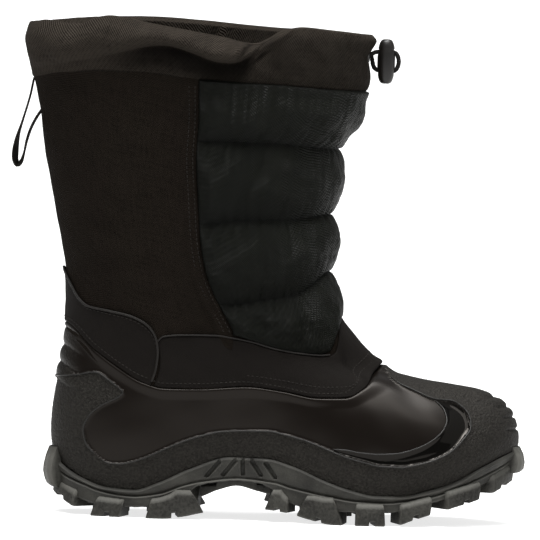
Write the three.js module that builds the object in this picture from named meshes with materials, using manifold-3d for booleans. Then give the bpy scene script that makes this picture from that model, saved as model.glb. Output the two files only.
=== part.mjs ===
// A right-foot snow boot, built as its maker's pieces: rubber outsole and galosh shell, insulated
// woven upper, quilted shin panel, drawstring collar, eyelet, drawcord, stopper, pull loop and insole.
//
// Millimetres, +Z up. The toe points along +X and the outer (lateral) side faces -Y.
// The origin is on the ground, under the middle of the boot's length and width.

import * as THREE from 'three';
import { mergeVertices } from 'three/addons/utils/BufferGeometryUtils.js';
import Module from 'manifold-3d';

// ---------------------------------------------------------------- driving dimensions

const GAP = 0.3;               // clearance between pieces that meet
const SHELL_WALL = 2.5;        // rubber galosh
const LINING_WALL = 2.5;       // upper where the galosh covers it
const SHAFT_WALL = 3.5;        // upper above the galosh: fabric, insulation and lining
const COLLAR_WALL = 4.0;       // folded casing with its lining
const RING_POINTS = 48;        // points around a ring of the boot

const FLANK_TOP_OUT = 1.8;     // how far the outsole's rim stands out from the galosh
const FLANK_LOW_OUT = 4.0;     // and its lower edge
const LUG_OUT = 3.4;           // how far a lug stands out from the flank's lower edge
const LUG_ROOT = 2.4;          // how deep a lug is rooted in the sole

const TAPE_WIDTH = 9;
const TAPE_THICKNESS = 1.3;

const CORD_DIAMETER = 2.8;
const CORD_SIDES = 8;
const STOPPER = {
  x: 65, z: 278, length: 27, width: 10, depth: 10.5, holeSpacing: 11.5, holeRadius: 2.1,
};
const EYELET = { outerDiameter: 11, holeDiameter: 7, thickness: 2.2, sunk: 0.4, z: 282 };

const INSOLE_THICKNESS = 4;
const INSOLE_CLEARANCE = 0.8;

// ---------------------------------------------------------------- the last

function table(names, rows) {
  const columns = names.split(/ +/);
  return rows.map((row) => Object.fromEntries(columns.map((name, i) => [name, row[i]])));
}

// One row per ring of the last, from the ground up. A ring lies in a plane that leans from its back
// point (backX, backZ) to its front point (frontX, frontZ). heel, waist, ball and toe are its half
// widths at the four stations below, backR and frontR the radii of its two ends in plan. swing moves
// the toe end inwards, hollow thins the inner side at the waist, sag is how much of the sole line's
// dip the ring takes. level is the height at which the ring crosses the middle of the side.
const RINGS = table(
  'level backX  backZ frontX frontZ heel waist ball  toe  backR frontR swing hollow sag', [
  [20,   -121.0,  21,  143.0,  37,  34.0, 35.0, 48.0, 34.0, 29,  36,   8,   6,   1.0],
  [36,   -127.8,  35,  149.8,  43,  36.5, 37.5, 51.0, 37.0, 32,  38,   8,   5,   0.65],
  [52,   -130.0,  52,  152.0,  53,  37.3, 39.0, 51.0, 37.5, 33,  37,   8,   4,   0.25],
  [65,   -129.3,  66,  150.0,  63,  36.9, 39.6, 47.0, 32.0, 32,  30,   7,   3,   0],
  [78,   -127.4,  80,  142.8,  74,  35.8, 39.8, 41.5, 23.5, 31,  22,   6,   1.5, 0],
  [89,   -124.6,  94,  124.5,  81.5, 34.8, 39.6, 37.0, 17.5, 30,  17,   4.5, 0.5, 0],
  [98,   -122.4, 106,   98.0,  85,  34.0, 39.6, 35.5, 16.0, 29,  15,   3,   0,   0],
  [106,  -121.4, 116,   76.5,  90,  33.6, 39.8, 35.5, 16.5, 28,  15,   2,   0,   0],
  [115,  -121.0, 125,   62.0, 100,  33.8, 40.4, 36.5, 18.0, 28,  16,   1,   0,   0],
  [125,  -121.2, 135,   50.5, 112,  34.2, 41.3, 38.0, 20.0, 28,  18,   0.5, 0,   0],
  [138,  -122.4, 147,   41.0, 125,  35.0, 42.5, 40.0, 22.5, 28,  20,   0,   0,   0],
  [158,  -126.0, 165,   33.5, 150,  36.0, 44.0, 42.0, 24.5, 28,  22,   0,   0,   0],
  [190,  -132.4, 195,   33.0, 186,  37.2, 46.0, 44.5, 26.0, 29,  24,   0,   0,   0],
  [225,  -138.8, 227,   36.5, 225,  38.4, 48.0, 46.8, 27.5, 30,  26,   0,   0,   0],
  [261,  -145.0, 262,   52.0, 260,  40.0, 50.0, 49.0, 29.5, 31,  27,   0,   0,   0],
  [282,  -151.6, 285,   53.5, 280,  41.0, 51.5, 50.0, 30.0, 31,  27,   0,   0,   0],
  [296,  -149.0, 297,   56.0, 291,  40.5, 51.0, 49.5, 29.5, 30,  26,   0,   0,   0],
]);

// The four stations, as fractions of a ring's length from its back point, with the dip that the
// ball and heel of a full-sag ring take there.
const STATIONS = table('column share dip', [
  ['heel',  0.15,  -8],
  ['waist', 0.42,   3],
  ['ball',  0.68, -18],
  ['toe',   0.92,  -7.5],
]);
const HOLLOW_REACH = 0.26;     // share of the length over which the inner waist is hollowed
const SWING_START = 0.4;       // share of the length where the toe starts to swing inwards

// Lines drawn on the boot, as heights z over x in the side view. Each has one row per point.
const COLLAR_SEAM = table('x z', [
  [-146, 263], [-130, 266], [-105, 269], [-75, 268.5], [-47, 265], [-5, 263], [54, 260],
]);
const SHELL_TOP = table('x z', [
  [-122, 115], [-104, 99.5], [-89, 89], [-76, 82], [-62, 78.5], [-40, 79], [-12, 81], [8, 79],
  [30, 75.5], [46, 76], [57, 82], [64, 91], [69, 95],
]);
const QUILT_FOOT = table('x z', [
  [-22, 111], [-12, 108.5], [4, 104], [18, 101.5], [30, 100.5], [37, 102], [41, 113], [43, 123],
]);
const QUILT_SEAM_LOW = table('x z', [[-29, 130], [-4, 133.5], [13, 136], [23, 142], [33, 150]]);
const QUILT_SEAM_MID = table('x z', [[-43, 178], [-20, 181], [12, 182], [34, 185]]);
const QUILT_SEAM_HIGH = table('x z', [[-45, 228], [-5, 228], [37, 225]]);
const SOLE_RIM = table('x z', [
  [-130, 40], [-124, 32], [-111, 23.5], [-95, 18], [-79, 17], [-64, 22], [-45, 31], [-21, 38.5],
  [0, 38.3], [16, 34.5], [37, 26], [51, 21.5], [66, 18.5], [81, 18.5], [97, 22], [113, 27.5],
  [129, 36.5], [147, 45], [153, 47],
]);
const SOLE_EDGE = table('x z', [
  [-127, 16], [-114, 10.5], [-103, 7.5], [-72, 7], [-54, 9.5], [-42, 17.5], [-30, 23.5], [-16, 26],
  [-3, 24], [7, 18], [20, 10.5], [40, 8], [72, 8], [99, 14], [128, 23.5], [148, 33],
]);
const TREAD = table('x z', [
  [-136, 30], [-128, 15], [-115, 5.5], [-104, 0], [-64, 0], [-50, 1.5], [-36, 4.5], [0, 7.5],
  [14, 6], [28, 2.5], [42, 0], [76, 0], [90, 4.5], [110, 11], [128, 17], [150, 29], [158, 35],
]);

// The side seam where the woven back meets the quilted front, as x over z.
const SIDE_SEAM = table('x z', [
  [-22, 111], [-29, 126], [-35, 137], [-40, 150], [-43.5, 168], [-45.7, 193], [-47.5, 219],
  [-46.8, 240], [-47.5, 266],
]);

// The lugs of one side: where each starts and ends along x, how far it reaches under the sole and how
// high it climbs the flank above the sole's edge.
const SIDE_LUGS = table('name startX endX reach climb', [
  ['heel_corner', -123.5, -112, 15, 5.0],
  ['heel_rear',   -104,   -85, 19, 4.0],
  ['heel_front',   -71,   -40, 19, 4.5],
  ['arch_front',     2,    14, 15, 3.5],
  ['ball_rear',     20,    46, 21, 6.0],
  ['ball_front',    55,    73, 21, 5.0],
  ['tread_fourth',  82,    98, 20, 4.0],
  ['tread_fifth',  109,   126, 18, 4.0],
  ['toe_corner',   135,   144.5, 13, 4.0],
]);

// Lugs across the middle, in plan: centre, length along x and width along y.
const MIDDLE_LUGS = table('x y length width', [
  [-95, 0, 15, 14], [-63, 0, 13, 22], [-47, 0, 10, 22], [9, 1, 10, 26], [26, 2, 11, 26],
  [42, 3, 10, 26], [64, 4, 15, 26], [90, 5, 14, 22], [117, 6, 13, 16],
]);

// The lower edge of the web that stiffens the arch, and its width.
const ARCH_WEB = table('x z', [[-42, 11], [-39, 12.5], [-29, 16.5], [-17, 19.5], [-5, 17], [6, 15]]);
const ARCH_WEB_WIDTH = 34;

// ---------------------------------------------------------------- curves through tables

const mix = (a, b, share) => a + (b - a) * share;
const clamp = (value, low, high) => Math.min(high, Math.max(low, value));
const ease = (value) => {
  const share = clamp(value, 0, 1);
  return share * share * (3 - 2 * share);
};

// Cubic pieces with the given slopes at the points; beyond the ends the curve goes on straight.
function hermite(xs, ys, slopes) {
  const last = xs.length - 1;
  return (x) => {
    if (x <= xs[0]) return ys[0] + slopes[0] * (x - xs[0]);
    if (x >= xs[last]) return ys[last] + slopes[last] * (x - xs[last]);
    let i = 0;
    while (x > xs[i + 1]) i += 1;
    const step = xs[i + 1] - xs[i];
    const u = (x - xs[i]) / step;
    const rise = ys[i + 1] - ys[i];
    const bend = u * (1 - u);
    const lean = slopes[i] * step * (1 - u) - slopes[i + 1] * step * u;
    return ys[i] + rise * u * u * (3 - 2 * u) + bend * lean;
  };
}

// The smoothest curve through the points (a natural cubic spline), for the rings of the last.
function spline(xs, ys) {
  const n = xs.length;
  const slopes = new Array(n).fill(0);
  const factor = new Array(n).fill(0);
  const value = new Array(n).fill(0);
  const step = (i) => xs[i + 1] - xs[i];
  const steep = (i) => (ys[i + 1] - ys[i]) / step(i);
  factor[0] = 0.5;
  value[0] = 1.5 * steep(0);
  for (let i = 1; i < n - 1; i += 1) {
    const before = 1 / step(i - 1);
    const after = 1 / step(i);
    const pivot = 2 * (before + after) - before * factor[i - 1];
    factor[i] = after / pivot;
    value[i] = (3 * (before * steep(i - 1) + after * steep(i)) - before * value[i - 1]) / pivot;
  }
  slopes[n - 1] = (3 * steep(n - 2) - value[n - 2]) / (2 - factor[n - 2]);
  for (let i = n - 2; i >= 0; i -= 1) slopes[i] = value[i] - factor[i] * slopes[i + 1];
  return hermite(xs, ys, slopes);
}

// A curve through the points that never overshoots them, flat beyond its ends.
function drawn(xs, ys) {
  const n = xs.length;
  const steep = (i) => (ys[i + 1] - ys[i]) / (xs[i + 1] - xs[i]);
  const slopes = xs.map((x, i) => {
    if (i === 0 || i === n - 1) return 0;
    const before = steep(i - 1);
    const after = steep(i);
    return before * after <= 0 ? 0 : (2 * before * after) / (before + after);
  });
  return hermite(xs, ys, slopes);
}

const column = (rows, name) => rows.map((row) => row[name]);
const lineOf = (rows) => drawn(column(rows, 'x'), column(rows, 'z'));
const ringColumn = Object.fromEntries(
  Object.keys(RINGS[0]).map((name) => [name, spline(column(RINGS, 'level'), column(RINGS, name))]),
);
const LEVELS = { low: RINGS[0].level, high: RINGS[RINGS.length - 1].level };

const turnOf = (share) => Math.acos(1 - 2 * share) / Math.PI;
const stationTurns = [0, ...STATIONS.map((station) => turnOf(station.share)), 1];
const dipAt = drawn([0, ...column(STATIONS, 'share'), 1], [0, ...column(STATIONS, 'dip'), 0]);

// ---------------------------------------------------------------- the surface of the last

// Half width around one ring. The ends are round by sin(turn), which the stations' widths are
// divided by so that the finished ring has exactly the widths of the table.
function widthAround(level) {
  const half = (ringColumn.frontX(level) - ringColumn.backX(level)) / 2;
  const full = STATIONS.map((s, i) =>
    ringColumn[s.column](level) / Math.sin(Math.PI * stationTurns[i + 1]));
  const back = Math.sqrt(ringColumn.backR(level) * half);
  const front = Math.sqrt(ringColumn.frontR(level) * half);
  const values = [back, ...full, front];
  const slopes = values.map((value, i) => {
    if (i === 0 || i === values.length - 1) return 0;
    return (values[i + 1] - values[i - 1]) / (stationTurns[i + 1] - stationTurns[i - 1]);
  });
  return hermite(stationTurns, values, slopes);
}

const widthCache = new Map();
function widthOf(level) {
  if (!widthCache.has(level)) widthCache.set(level, widthAround(level));
  return widthCache.get(level);
}

// A point of the last. around runs 0 to 2: from the back along the outer side to the toe at 1, and
// back along the inner side.
function lastPoint(around, level) {
  const turn = ((around % 2) + 2) % 2;
  const outer = turn <= 1;
  const t = outer ? turn : 2 - turn;
  const share = (1 - Math.cos(Math.PI * t)) / 2;
  const round = Math.sin(Math.PI * t);
  const swing = ringColumn.swing(level) * ease((share - SWING_START) / (1 - SWING_START));
  const thin = Math.max(0, 1 - ((share - STATIONS[1].share) / HOLLOW_REACH) ** 2) ** 2;
  const hollow = outer ? 0 : ringColumn.hollow(level) * thin;
  const half = widthOf(level)(t) * round - hollow;
  return new THREE.Vector3(
    mix(ringColumn.backX(level), ringColumn.frontX(level), share),
    swing + (outer ? -half : half),
    mix(ringColumn.backZ(level), ringColumn.frontZ(level), share)
      + ringColumn.sag(level) * dipAt(share),
  );
}

const TURN_STEP = 0.004;
const LEVEL_STEP = 0.4;

function lastNormal(around, level) {
  const along = lastPoint(around + TURN_STEP, level).sub(lastPoint(around - TURN_STEP, level));
  const up = lastPoint(around, level + LEVEL_STEP).sub(lastPoint(around, level - LEVEL_STEP));
  return along.cross(up).normalize();
}

// A point that stands `out` mm proud of the last (inside it when negative).
function offsetPoint(around, level, out) {
  return lastPoint(around, level).addScaledVector(lastNormal(around, level), out);
}

function bisect(isPast, low, high) {
  let [a, b] = [low, high];
  for (let i = 0; i < 30; i += 1) {
    const middle = (a + b) / 2;
    if (isPast(middle)) b = middle;
    else a = middle;
  }
  return (a + b) / 2;
}

// The level at which a side-view line crosses the last, at one place around it.
function levelOn(line, around) {
  return bisect((level) => {
    const point = lastPoint(around, level);
    return point.z > line(point.x);
  }, LEVELS.low - 8, LEVELS.high + 8);
}

const collarSeam = lineOf(COLLAR_SEAM);
const shellTop = lineOf(SHELL_TOP);
const soleRim = lineOf(SOLE_RIM);
const soleEdge = lineOf(SOLE_EDGE);
const tread = lineOf(TREAD);

// Levels up the foot, the same for outsole, shell and upper, so that their facets run parallel.
const SOLE_SHARES = [0, 0.35, 0.7, 1];                 // from the footbed to the outsole's rim
const SHELL_SHARES = [0.2, 0.4, 0.6, 0.8, 1];             // on from there to the shell's top edge

const soleLevels = (around) => {
  const rim = levelOn(soleRim, around);
  return SOLE_SHARES.map((share) => mix(LEVELS.low, rim, share));
};
const footLevels = (around) => {
  const start = levelOn(soleRim, around);
  const end = levelOn(shellTop, around);
  return [...soleLevels(around), ...SHELL_SHARES.map((share) => mix(start, end, share))];
};

// ---------------------------------------------------------------- solids from rings and grids

const TURNS = Array.from({ length: RING_POINTS }, (_, i) => (2 * i) / RING_POINTS);
const ring = (pointAt) => TURNS.map(pointAt);

function geometry(points, faces) {
  const result = new THREE.BufferGeometry();
  const positions = points.flatMap((p) => [p.x, p.y, p.z]);
  result.setAttribute('position', new THREE.Float32BufferAttribute(positions, 3));
  result.setIndex(faces.flat());
  return result;
}

// The two triangles of a quad, or one where two of its corners are the same.
function quad(a, b, c, d) {
  return [[a, b, c], [a, c, d]].filter((f) => new Set(f).size === 3);
}

// Faces of the wall between two rings, the lower one first, seen from outside.
function wallFaces(lower, upper) {
  const count = RING_POINTS;
  return TURNS.flatMap((_, i) => {
    const next = (i + 1) % count;
    return quad(lower * count + i, lower * count + next, upper * count + next, upper * count + i);
  });
}

const flipped = (faces) => faces.map((face) => face.toReversed());
const upwards = (first, rings) => rings.slice(1).flatMap((_, i) => wallFaces(first + i, first + i + 1));

// A ladder of faces across one ring, from its outer side to its inner side, seen from above.
function ladderFaces(row) {
  const count = RING_POINTS;
  const start = row * count;
  const faces = [];
  for (let i = 0; i < count / 2; i += 1) {
    const far = (count - i) % count;
    faces.push(...quad(start + i, start + i + 1, start + count - i - 1, start + far));
  }
  return faces;
}

// An open tube's wall, from the rings of its outside and of its inside, both from the bottom up.
function tube(outside, inside) {
  const within = outside.length;
  const faces = [
    ...upwards(0, outside),
    ...flipped(upwards(within, inside)),
    ...flipped(wallFaces(0, within)),
    ...wallFaces(within - 1, within + inside.length - 1),
  ];
  return geometry([...outside, ...inside].flat(), faces);
}

// A solid block through rings from the bottom up.
function block(rings) {
  const faces = [...upwards(0, rings), ...flipped(ladderFaces(0)), ...ladderFaces(rings.length - 1)];
  return geometry(rings.flat(), faces);
}

// A cup, from the rings of its outside and of its hollow, both from the bottom up.
function cup(outside, inside) {
  const within = outside.length;
  const faces = [
    ...upwards(0, outside),
    ...flipped(upwards(within, inside)),
    ...wallFaces(within - 1, within + inside.length - 1),
    ...flipped(ladderFaces(0)),
    ...ladderFaces(within),
  ];
  return geometry([...outside, ...inside].flat(), faces);
}

// A sheet with two faces, from two grids of the same size: rows go up, columns go around.
function slab(outside, inside) {
  const rows = outside.length;
  const columns = outside[0].length;
  const at = (layer, row, col) => (layer * rows + row) * columns + col;
  const faces = [];
  for (let r = 0; r < rows - 1; r += 1) {
    for (let c = 0; c < columns - 1; c += 1) {
      faces.push(...quad(at(0, r, c), at(0, r, c + 1), at(0, r + 1, c + 1), at(0, r + 1, c)));
      faces.push(...quad(at(1, r, c), at(1, r + 1, c), at(1, r + 1, c + 1), at(1, r, c + 1)));
    }
    const end = columns - 1;
    faces.push(...quad(at(0, r, 0), at(0, r + 1, 0), at(1, r + 1, 0), at(1, r, 0)));
    faces.push(...quad(at(0, r, end), at(1, r, end), at(1, r + 1, end), at(0, r + 1, end)));
  }
  for (let c = 0; c < columns - 1; c += 1) {
    const top = rows - 1;
    faces.push(...quad(at(0, 0, c), at(1, 0, c), at(1, 0, c + 1), at(0, 0, c + 1)));
    faces.push(...quad(at(0, top, c), at(0, top, c + 1), at(1, top, c + 1), at(1, top, c)));
  }
  return geometry([...outside.flat(), ...inside.flat()], faces);
}

const wasm = await Module();
wasm.setup();

function toManifold(source) {
  const plain = source.clone();
  plain.deleteAttribute('normal');
  plain.deleteAttribute('uv');
  const merged = mergeVertices(plain, 1e-4);
  return new wasm.Manifold(new wasm.Mesh({
    numProp: 3,
    vertProperties: new Float32Array(merged.attributes.position.array),
    triVerts: new Uint32Array(merged.index.array),
  }));
}

function fromManifold(solid) {
  const mesh = solid.getMesh();
  const result = new THREE.BufferGeometry();
  result.setAttribute('position', new THREE.Float32BufferAttribute(mesh.vertProperties, 3));
  result.setIndex(Array.from(mesh.triVerts));
  return result;
}

const join = (parts) => fromManifold(parts.map(toManifold).reduce((a, b) => a.add(b)));
const cut = (base, tools) =>
  fromManifold(tools.map(toManifold).reduce((a, b) => a.subtract(b), toManifold(base)));

// ---------------------------------------------------------------- outsole

// A point of the sole's lower edge, pushed out sideways, at the height of the edge line.
function edgePoint(around, out) {
  const start = lastPoint(around, LEVELS.low);
  const normal = lastNormal(around, LEVELS.low).setZ(0).normalize();
  const point = start.addScaledVector(normal, out);
  return point.setZ(soleEdge(point.x));
}

function flankPoint(around, out, drop) {
  const level = levelOn(soleRim, around);
  const point = offsetPoint(around, level, out);
  return point.setZ(point.z - drop);
}

const RIM_ROLL = 1.0;          // height of the rounding at the rim
const RIM_LIP = 1.0;           // thickness of the rim's top
const FLANK_WAIST = 0.55;      // where the flank's groove runs, as a share of its height
const FLANK_WAIST_OUT = 2.6;

function soleBody() {
  const low = (around) => edgePoint(around, FLANK_LOW_OUT);
  const high = (around) => flankPoint(around, FLANK_TOP_OUT, RIM_ROLL);
  const waist = (around) => low(around).lerp(high(around), FLANK_WAIST)
    .addScaledVector(lastNormal(around, LEVELS.low).setZ(0).normalize(), FLANK_WAIST_OUT - 2);
  const inner = (row) => (around) => offsetPoint(around, soleLevels(around)[row], GAP);
  const floor = (around) => {
    const point = offsetPoint(around, LEVELS.low, GAP);
    return point.setZ(point.z - GAP);
  };
  const outside = [low, waist, high, (around) => flankPoint(around, RIM_LIP, 0)];
  const hollow = [floor, ...SOLE_SHARES.map((_, row) => inner(row))];
  return cup(outside.map(ring), hollow.map(ring));
}

// Cross-section of a side lug: under the sole, out past the edge, and up the flank with a bevel.
function lugSection(around, reach, climb) {
  const edge = edgePoint(around, FLANK_LOW_OUT);
  const outward = edgePoint(around, FLANK_LOW_OUT + 1).sub(edge).setZ(0).normalize();
  const at = (out, z) => edge.clone().addScaledVector(outward, out).setZ(z);
  const foot = (out) => tread(edge.x + outward.x * out);
  return [
    at(-reach, foot(0)),
    at(LUG_OUT - 1.2, foot(0)),
    at(LUG_OUT, Math.max(foot(0) + 2, edge.z - 1)),
    at(LUG_OUT - 0.6, edge.z + climb * 0.5),
    at(-1.6, edge.z + climb),
    at(-reach, edge.z + LUG_ROOT),
  ];
}

// A closed prism through matching cross-sections.
function prism(sections) {
  const count = sections[0].length;
  const faces = [];
  sections.slice(1).forEach((_, s) => {
    for (let i = 0; i < count; i += 1) {
      const next = (i + 1) % count;
      const [a, b] = [s * count, (s + 1) * count];
      faces.push(...quad(a + i, a + next, b + next, b + i));
    }
  });
  const last = (sections.length - 1) * count;
  for (let i = 1; i < count - 1; i += 1) {
    faces.push([0, i + 1, i]);
    faces.push([last, last + i, last + i + 1]);
  }
  return geometry(sections.flat(), faces);
}

function turnAtX(x, out) {
  return bisect((turn) => edgePoint(turn, out).x > x, 0, 1);
}

const LUG_SECTIONS = 3;

function sideLug(lug, mirrored) {
  const start = turnAtX(lug.startX, FLANK_LOW_OUT);
  const end = turnAtX(lug.endX, FLANK_LOW_OUT);
  const turns = Array.from({ length: LUG_SECTIONS }, (_, i) => mix(start, end, i / (LUG_SECTIONS - 1)));
  const section = (turn) => lugSection(mirrored ? 2 - turn : turn, lug.reach, lug.climb);
  const sections = turns.map(section);
  return prism(mirrored ? sections : sections.toReversed());
}

// A bumper lug at the very back or front: its section stands on the flank, in mm out from the sole's
// edge and height over the ground.
const HEEL_BUMPER = table('out z', [[0, 14], [4, 15.5], [9.3, 33], [9.8, 37.5], [6.4, 39.2]]);
const TOE_BUMPER = table('out z', [
  [-1.5, 33.5], [5, 31.5], [9.4, 36], [9.6, 45.5], [5.8, 47.2], [3.6, 42],
]);

function bumper(middle, halfSpan, profile) {
  const section = (turn) => {
    const edge = edgePoint(turn, FLANK_LOW_OUT);
    const outward = edgePoint(turn, FLANK_LOW_OUT + 1).sub(edge).setZ(0).normalize();
    return profile.map(({ out, z }) => edge.clone().addScaledVector(outward, out).setZ(z));
  };
  return prism([middle - halfSpan, middle, middle + halfSpan].map(section).toReversed());
}

const LUG_TAPER = 0.86;        // a middle lug's foot, as a share of its root

function middleLug(lug) {
  const corner = (sx, sy, share) => [lug.x + sx * lug.length * share, lug.y + sy * lug.width * share];
  const level = (share, zAt) => [[-0.5, -0.5], [0.5, -0.5], [0.5, 0.5], [-0.5, 0.5]].map(([sx, sy]) => {
    const [x, y] = corner(sx, sy, share);
    return new THREE.Vector3(x, y, zAt(x));
  });
  const foot = level(LUG_TAPER, (x) => tread(x));
  const root = level(1, (x) => soleEdge(x) + LUG_ROOT);
  return prism([foot, root]);
}

function archWeb() {
  const half = ARCH_WEB_WIDTH / 2;
  const section = ({ x, z }) => {
    const top = soleEdge(x) + 2;
    return [[-half, z], [half, z], [half, top], [-half, top]].map(([y, height]) =>
      new THREE.Vector3(x, y, height));
  };
  return prism(ARCH_WEB.map(section));
}

function outsole() {
  const sides = SIDE_LUGS.flatMap((lug) => [sideLug(lug, false), sideLug(lug, true)]);
  const ends = [bumper(0, 0.06, HEEL_BUMPER), bumper(1, 0.06, TOE_BUMPER)];
  return join([soleBody(), ...sides, ...ends, ...MIDDLE_LUGS.map(middleLug), archWeb()]);
}

// ---------------------------------------------------------------- shell, upper, insole

const FOOT_ROWS = [...SOLE_SHARES, ...SHELL_SHARES].map((_, row) => row);

function shell() {
  const face = (out) => FOOT_ROWS.map((row) => ring((a) => offsetPoint(a, footLevels(a)[row], out)));
  return tube(face(0), face(-SHELL_WALL));
}

const SOCK_OUT = -(SHELL_WALL + GAP);                  // the upper's face behind the shell
const SHAFT_SHARES = [0, 0.1, 0.2, 0.32, 0.48, 0.66, 0.84, 1];
const INNER_SHARES = [0.15, 0.35, 0.65, 1];
const HEM_GAP = 0.35;          // how far above the shell's top the upper steps out over it
const WALL_CHANGE = { start: 70, end: 150 };           // levels between which the wall thickens

const hemLevel = (a) => levelOn(shellTop, a) + HEM_GAP;
const brimLevel = (a) => levelOn(collarSeam, a) - GAP / 2;
const shaftLevels = (a) => SHAFT_SHARES.map((share) => mix(hemLevel(a), brimLevel(a), share));

function upper() {
  const foot = (out, lift) => FOOT_ROWS.map((row) => ring((a) => {
    const isTop = row === FOOT_ROWS.length - 1;
    return offsetPoint(a, footLevels(a)[row] + (isTop ? lift : 0), out);
  }));
  const shaft = SHAFT_SHARES.map((_, row) => ring((a) => lastPoint(a, shaftLevels(a)[row])));
  const innerOut = (level) => mix(
    SOCK_OUT - LINING_WALL, -SHAFT_WALL,
    ease((level - WALL_CHANGE.start) / (WALL_CHANGE.end - WALL_CHANGE.start)));
  const lining = INNER_SHARES.map((share) => ring((a) => {
    const level = mix(hemLevel(a), brimLevel(a), share);
    return offsetPoint(a, level, innerOut(level));
  }));
  return tube(
    [...foot(SOCK_OUT, HEM_GAP), ...shaft],
    [...foot(SOCK_OUT - LINING_WALL, 0), ...lining],
  );
}

function insole() {
  const out = SOCK_OUT - LINING_WALL - INSOLE_CLEARANCE;
  const face = (height) => ring((a) => {
    const flat = lastNormal(a, LEVELS.low).setZ(0).normalize();
    const point = lastPoint(a, LEVELS.low).addScaledVector(flat, out);
    return point.setZ(point.z + height);
  });
  return block([face(0.2), face(0.2 + INSOLE_THICKNESS)]);
}

// ---------------------------------------------------------------- quilted panel

const QUILT_EDGE = 1.1;        // thickness at its seams
const QUILT_ROOT = 3.0;        // how deep the panel starts before the shaft is cut out of it
const QUILT_PUFF = 6.0;        // how far a puff stands out at the shin
const QUILT_SIDE_PUFF = 3.4;   // and near the side seams
const PUFF_FULLNESS = [0.62, 1, 1, 0.95];              // of each puff, from the instep up
const PUFF_SHARES = [0, 0.12, 0.4, 0.72, 0.93];
const QUILT_COLUMNS = 24;

// Across the panel a puff rises fast from each side seam and is fullest at the shin.
function puffAcross(share) {
  const fromEdge = Math.min(share, 1 - share);
  const rise = Math.min(1, fromEdge / 0.07) ** 0.6;
  return rise * mix(QUILT_SIDE_PUFF, QUILT_PUFF, ease((fromEdge - 0.15) / 0.3));
}

const puffUp = (share) => Math.sin(Math.PI * share) ** 0.5;

// The shaft's own outer form, grown by the gap and run on past its brim, which the quilted panel is
// cut to.
function shaftForm() {
  const levels = (a) => [...shaftLevels(a), brimLevel(a) + 2];
  const rows = [...SHAFT_SHARES, 'past the brim'];
  const face = (out) => rows.map((_, row) => ring((a) => offsetPoint(a, levels(a)[row], out)));
  return tube(face(GAP), face(-2 * QUILT_ROOT));
}

function quiltedPanel() {
  const lines = [QUILT_FOOT, QUILT_SEAM_LOW, QUILT_SEAM_MID, QUILT_SEAM_HIGH, COLLAR_SEAM].map(lineOf);
  const seamX = drawn(column(SIDE_SEAM, 'z'), column(SIDE_SEAM, 'x'));
  const rows = lines.slice(1).flatMap((_, i) => PUFF_SHARES.map((share) => ({ i, share })));
  rows.push({ i: lines.length - 2, share: 1 });
  const grid = rows.map(({ i, share }) => {
    const top = i === lines.length - 2 ? -1 : 0;       // stays under the collar's edge
    const levelAt = (a) => mix(levelOn(lines[i], a) + 0.5, levelOn(lines[i + 1], a) + top, share);
    const start = bisect((a) => {
      const point = lastPoint(a, levelAt(a));
      return point.x > seamX(point.z);
    }, 0.25, 0.9);
    return Array.from({ length: QUILT_COLUMNS + 1 }, (_, c) => {
      const across = c / QUILT_COLUMNS;
      const a = mix(start, 2 - start, across);
      return { a, level: levelAt(a), puff: PUFF_FULLNESS[i] * puffAcross(across) * puffUp(share) };
    });
  });
  const outside = grid.map((row) => row.map((p) =>
    offsetPoint(p.a, p.level, GAP + QUILT_EDGE + p.puff)));
  const inside = grid.map((row) => row.map((p) => offsetPoint(p.a, p.level, -QUILT_ROOT)));
  return cut(slab(outside, inside), [shaftForm()]);
}

// ---------------------------------------------------------------- collar

const COLLAR_BULGE = 6.5;      // how far the gathered roll stands out at the sides
const COLLAR_FRONT_BULGE = 0.5;
const COLLAR_BACK_BULGE = 0.5;

// The collar's section, up its outside and up its lining: share of the height, and how much of the
// bulge it takes, or how much of the wall it lies inside.
const COLLAR_OUTSIDE = table('height bulge', [[0, 0], [0.25, 0.25], [0.5, 0.85], [0.78, 1], [0.95, 0.7]]);
const COLLAR_INSIDE = table('height inset', [[0, 1], [0.5, 1], [0.93, 0.9], [1, 0.45]]);
const COLLAR_RIM = table('x z', [[-151, 297.5], [-90, 299.5], [-45, 295], [10, 295.5], [56, 292]]);

// The roll is fullest at the sides and dies away at the back seam and over the front.
function collarBulge(around) {
  const t = around <= 1 ? around : 2 - around;
  const side = Math.sin(Math.PI * clamp(t / 0.85, 0, 1)) ** 0.7;
  return mix(mix(COLLAR_BACK_BULGE, COLLAR_FRONT_BULGE, t), COLLAR_BULGE, side);
}

function collarFrontX(z) {
  const level = bisect((value) => lastPoint(1, value).z > z, 240, LEVELS.high + 6);
  return offsetPoint(1, level, COLLAR_FRONT_BULGE).x;
}

const EYELET_X = collarFrontX(EYELET.z) - EYELET.sunk;

function collar() {
  const rim = lineOf(COLLAR_RIM);
  const levelAt = (a, height) => {
    const seam = levelOn(collarSeam, a) + GAP / 2;
    return mix(seam, levelOn(rim, a), height);
  };
  const outside = COLLAR_OUTSIDE.map(({ height, bulge }) => ring((a) =>
    offsetPoint(a, levelAt(a, height), collarBulge(a) * bulge)));
  const inside = COLLAR_INSIDE.map(({ height, inset }) => ring((a) => {
    const roll = collarBulge(a) * 0.5 * Math.sin(Math.PI * height * 0.5);
    return offsetPoint(a, levelAt(a, height), roll - COLLAR_WALL * inset);
  }));
  const radius = EYELET.outerDiameter / 2 + GAP;
  const hole = new THREE.CylinderGeometry(radius, radius, 4 * COLLAR_WALL, 20)
    .rotateZ(Math.PI / 2).translate(EYELET_X, 0, EYELET.z);
  return cut(tube(outside, inside), [hole]);
}

// ---------------------------------------------------------------- drawcord, eyelet and stopper

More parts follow.
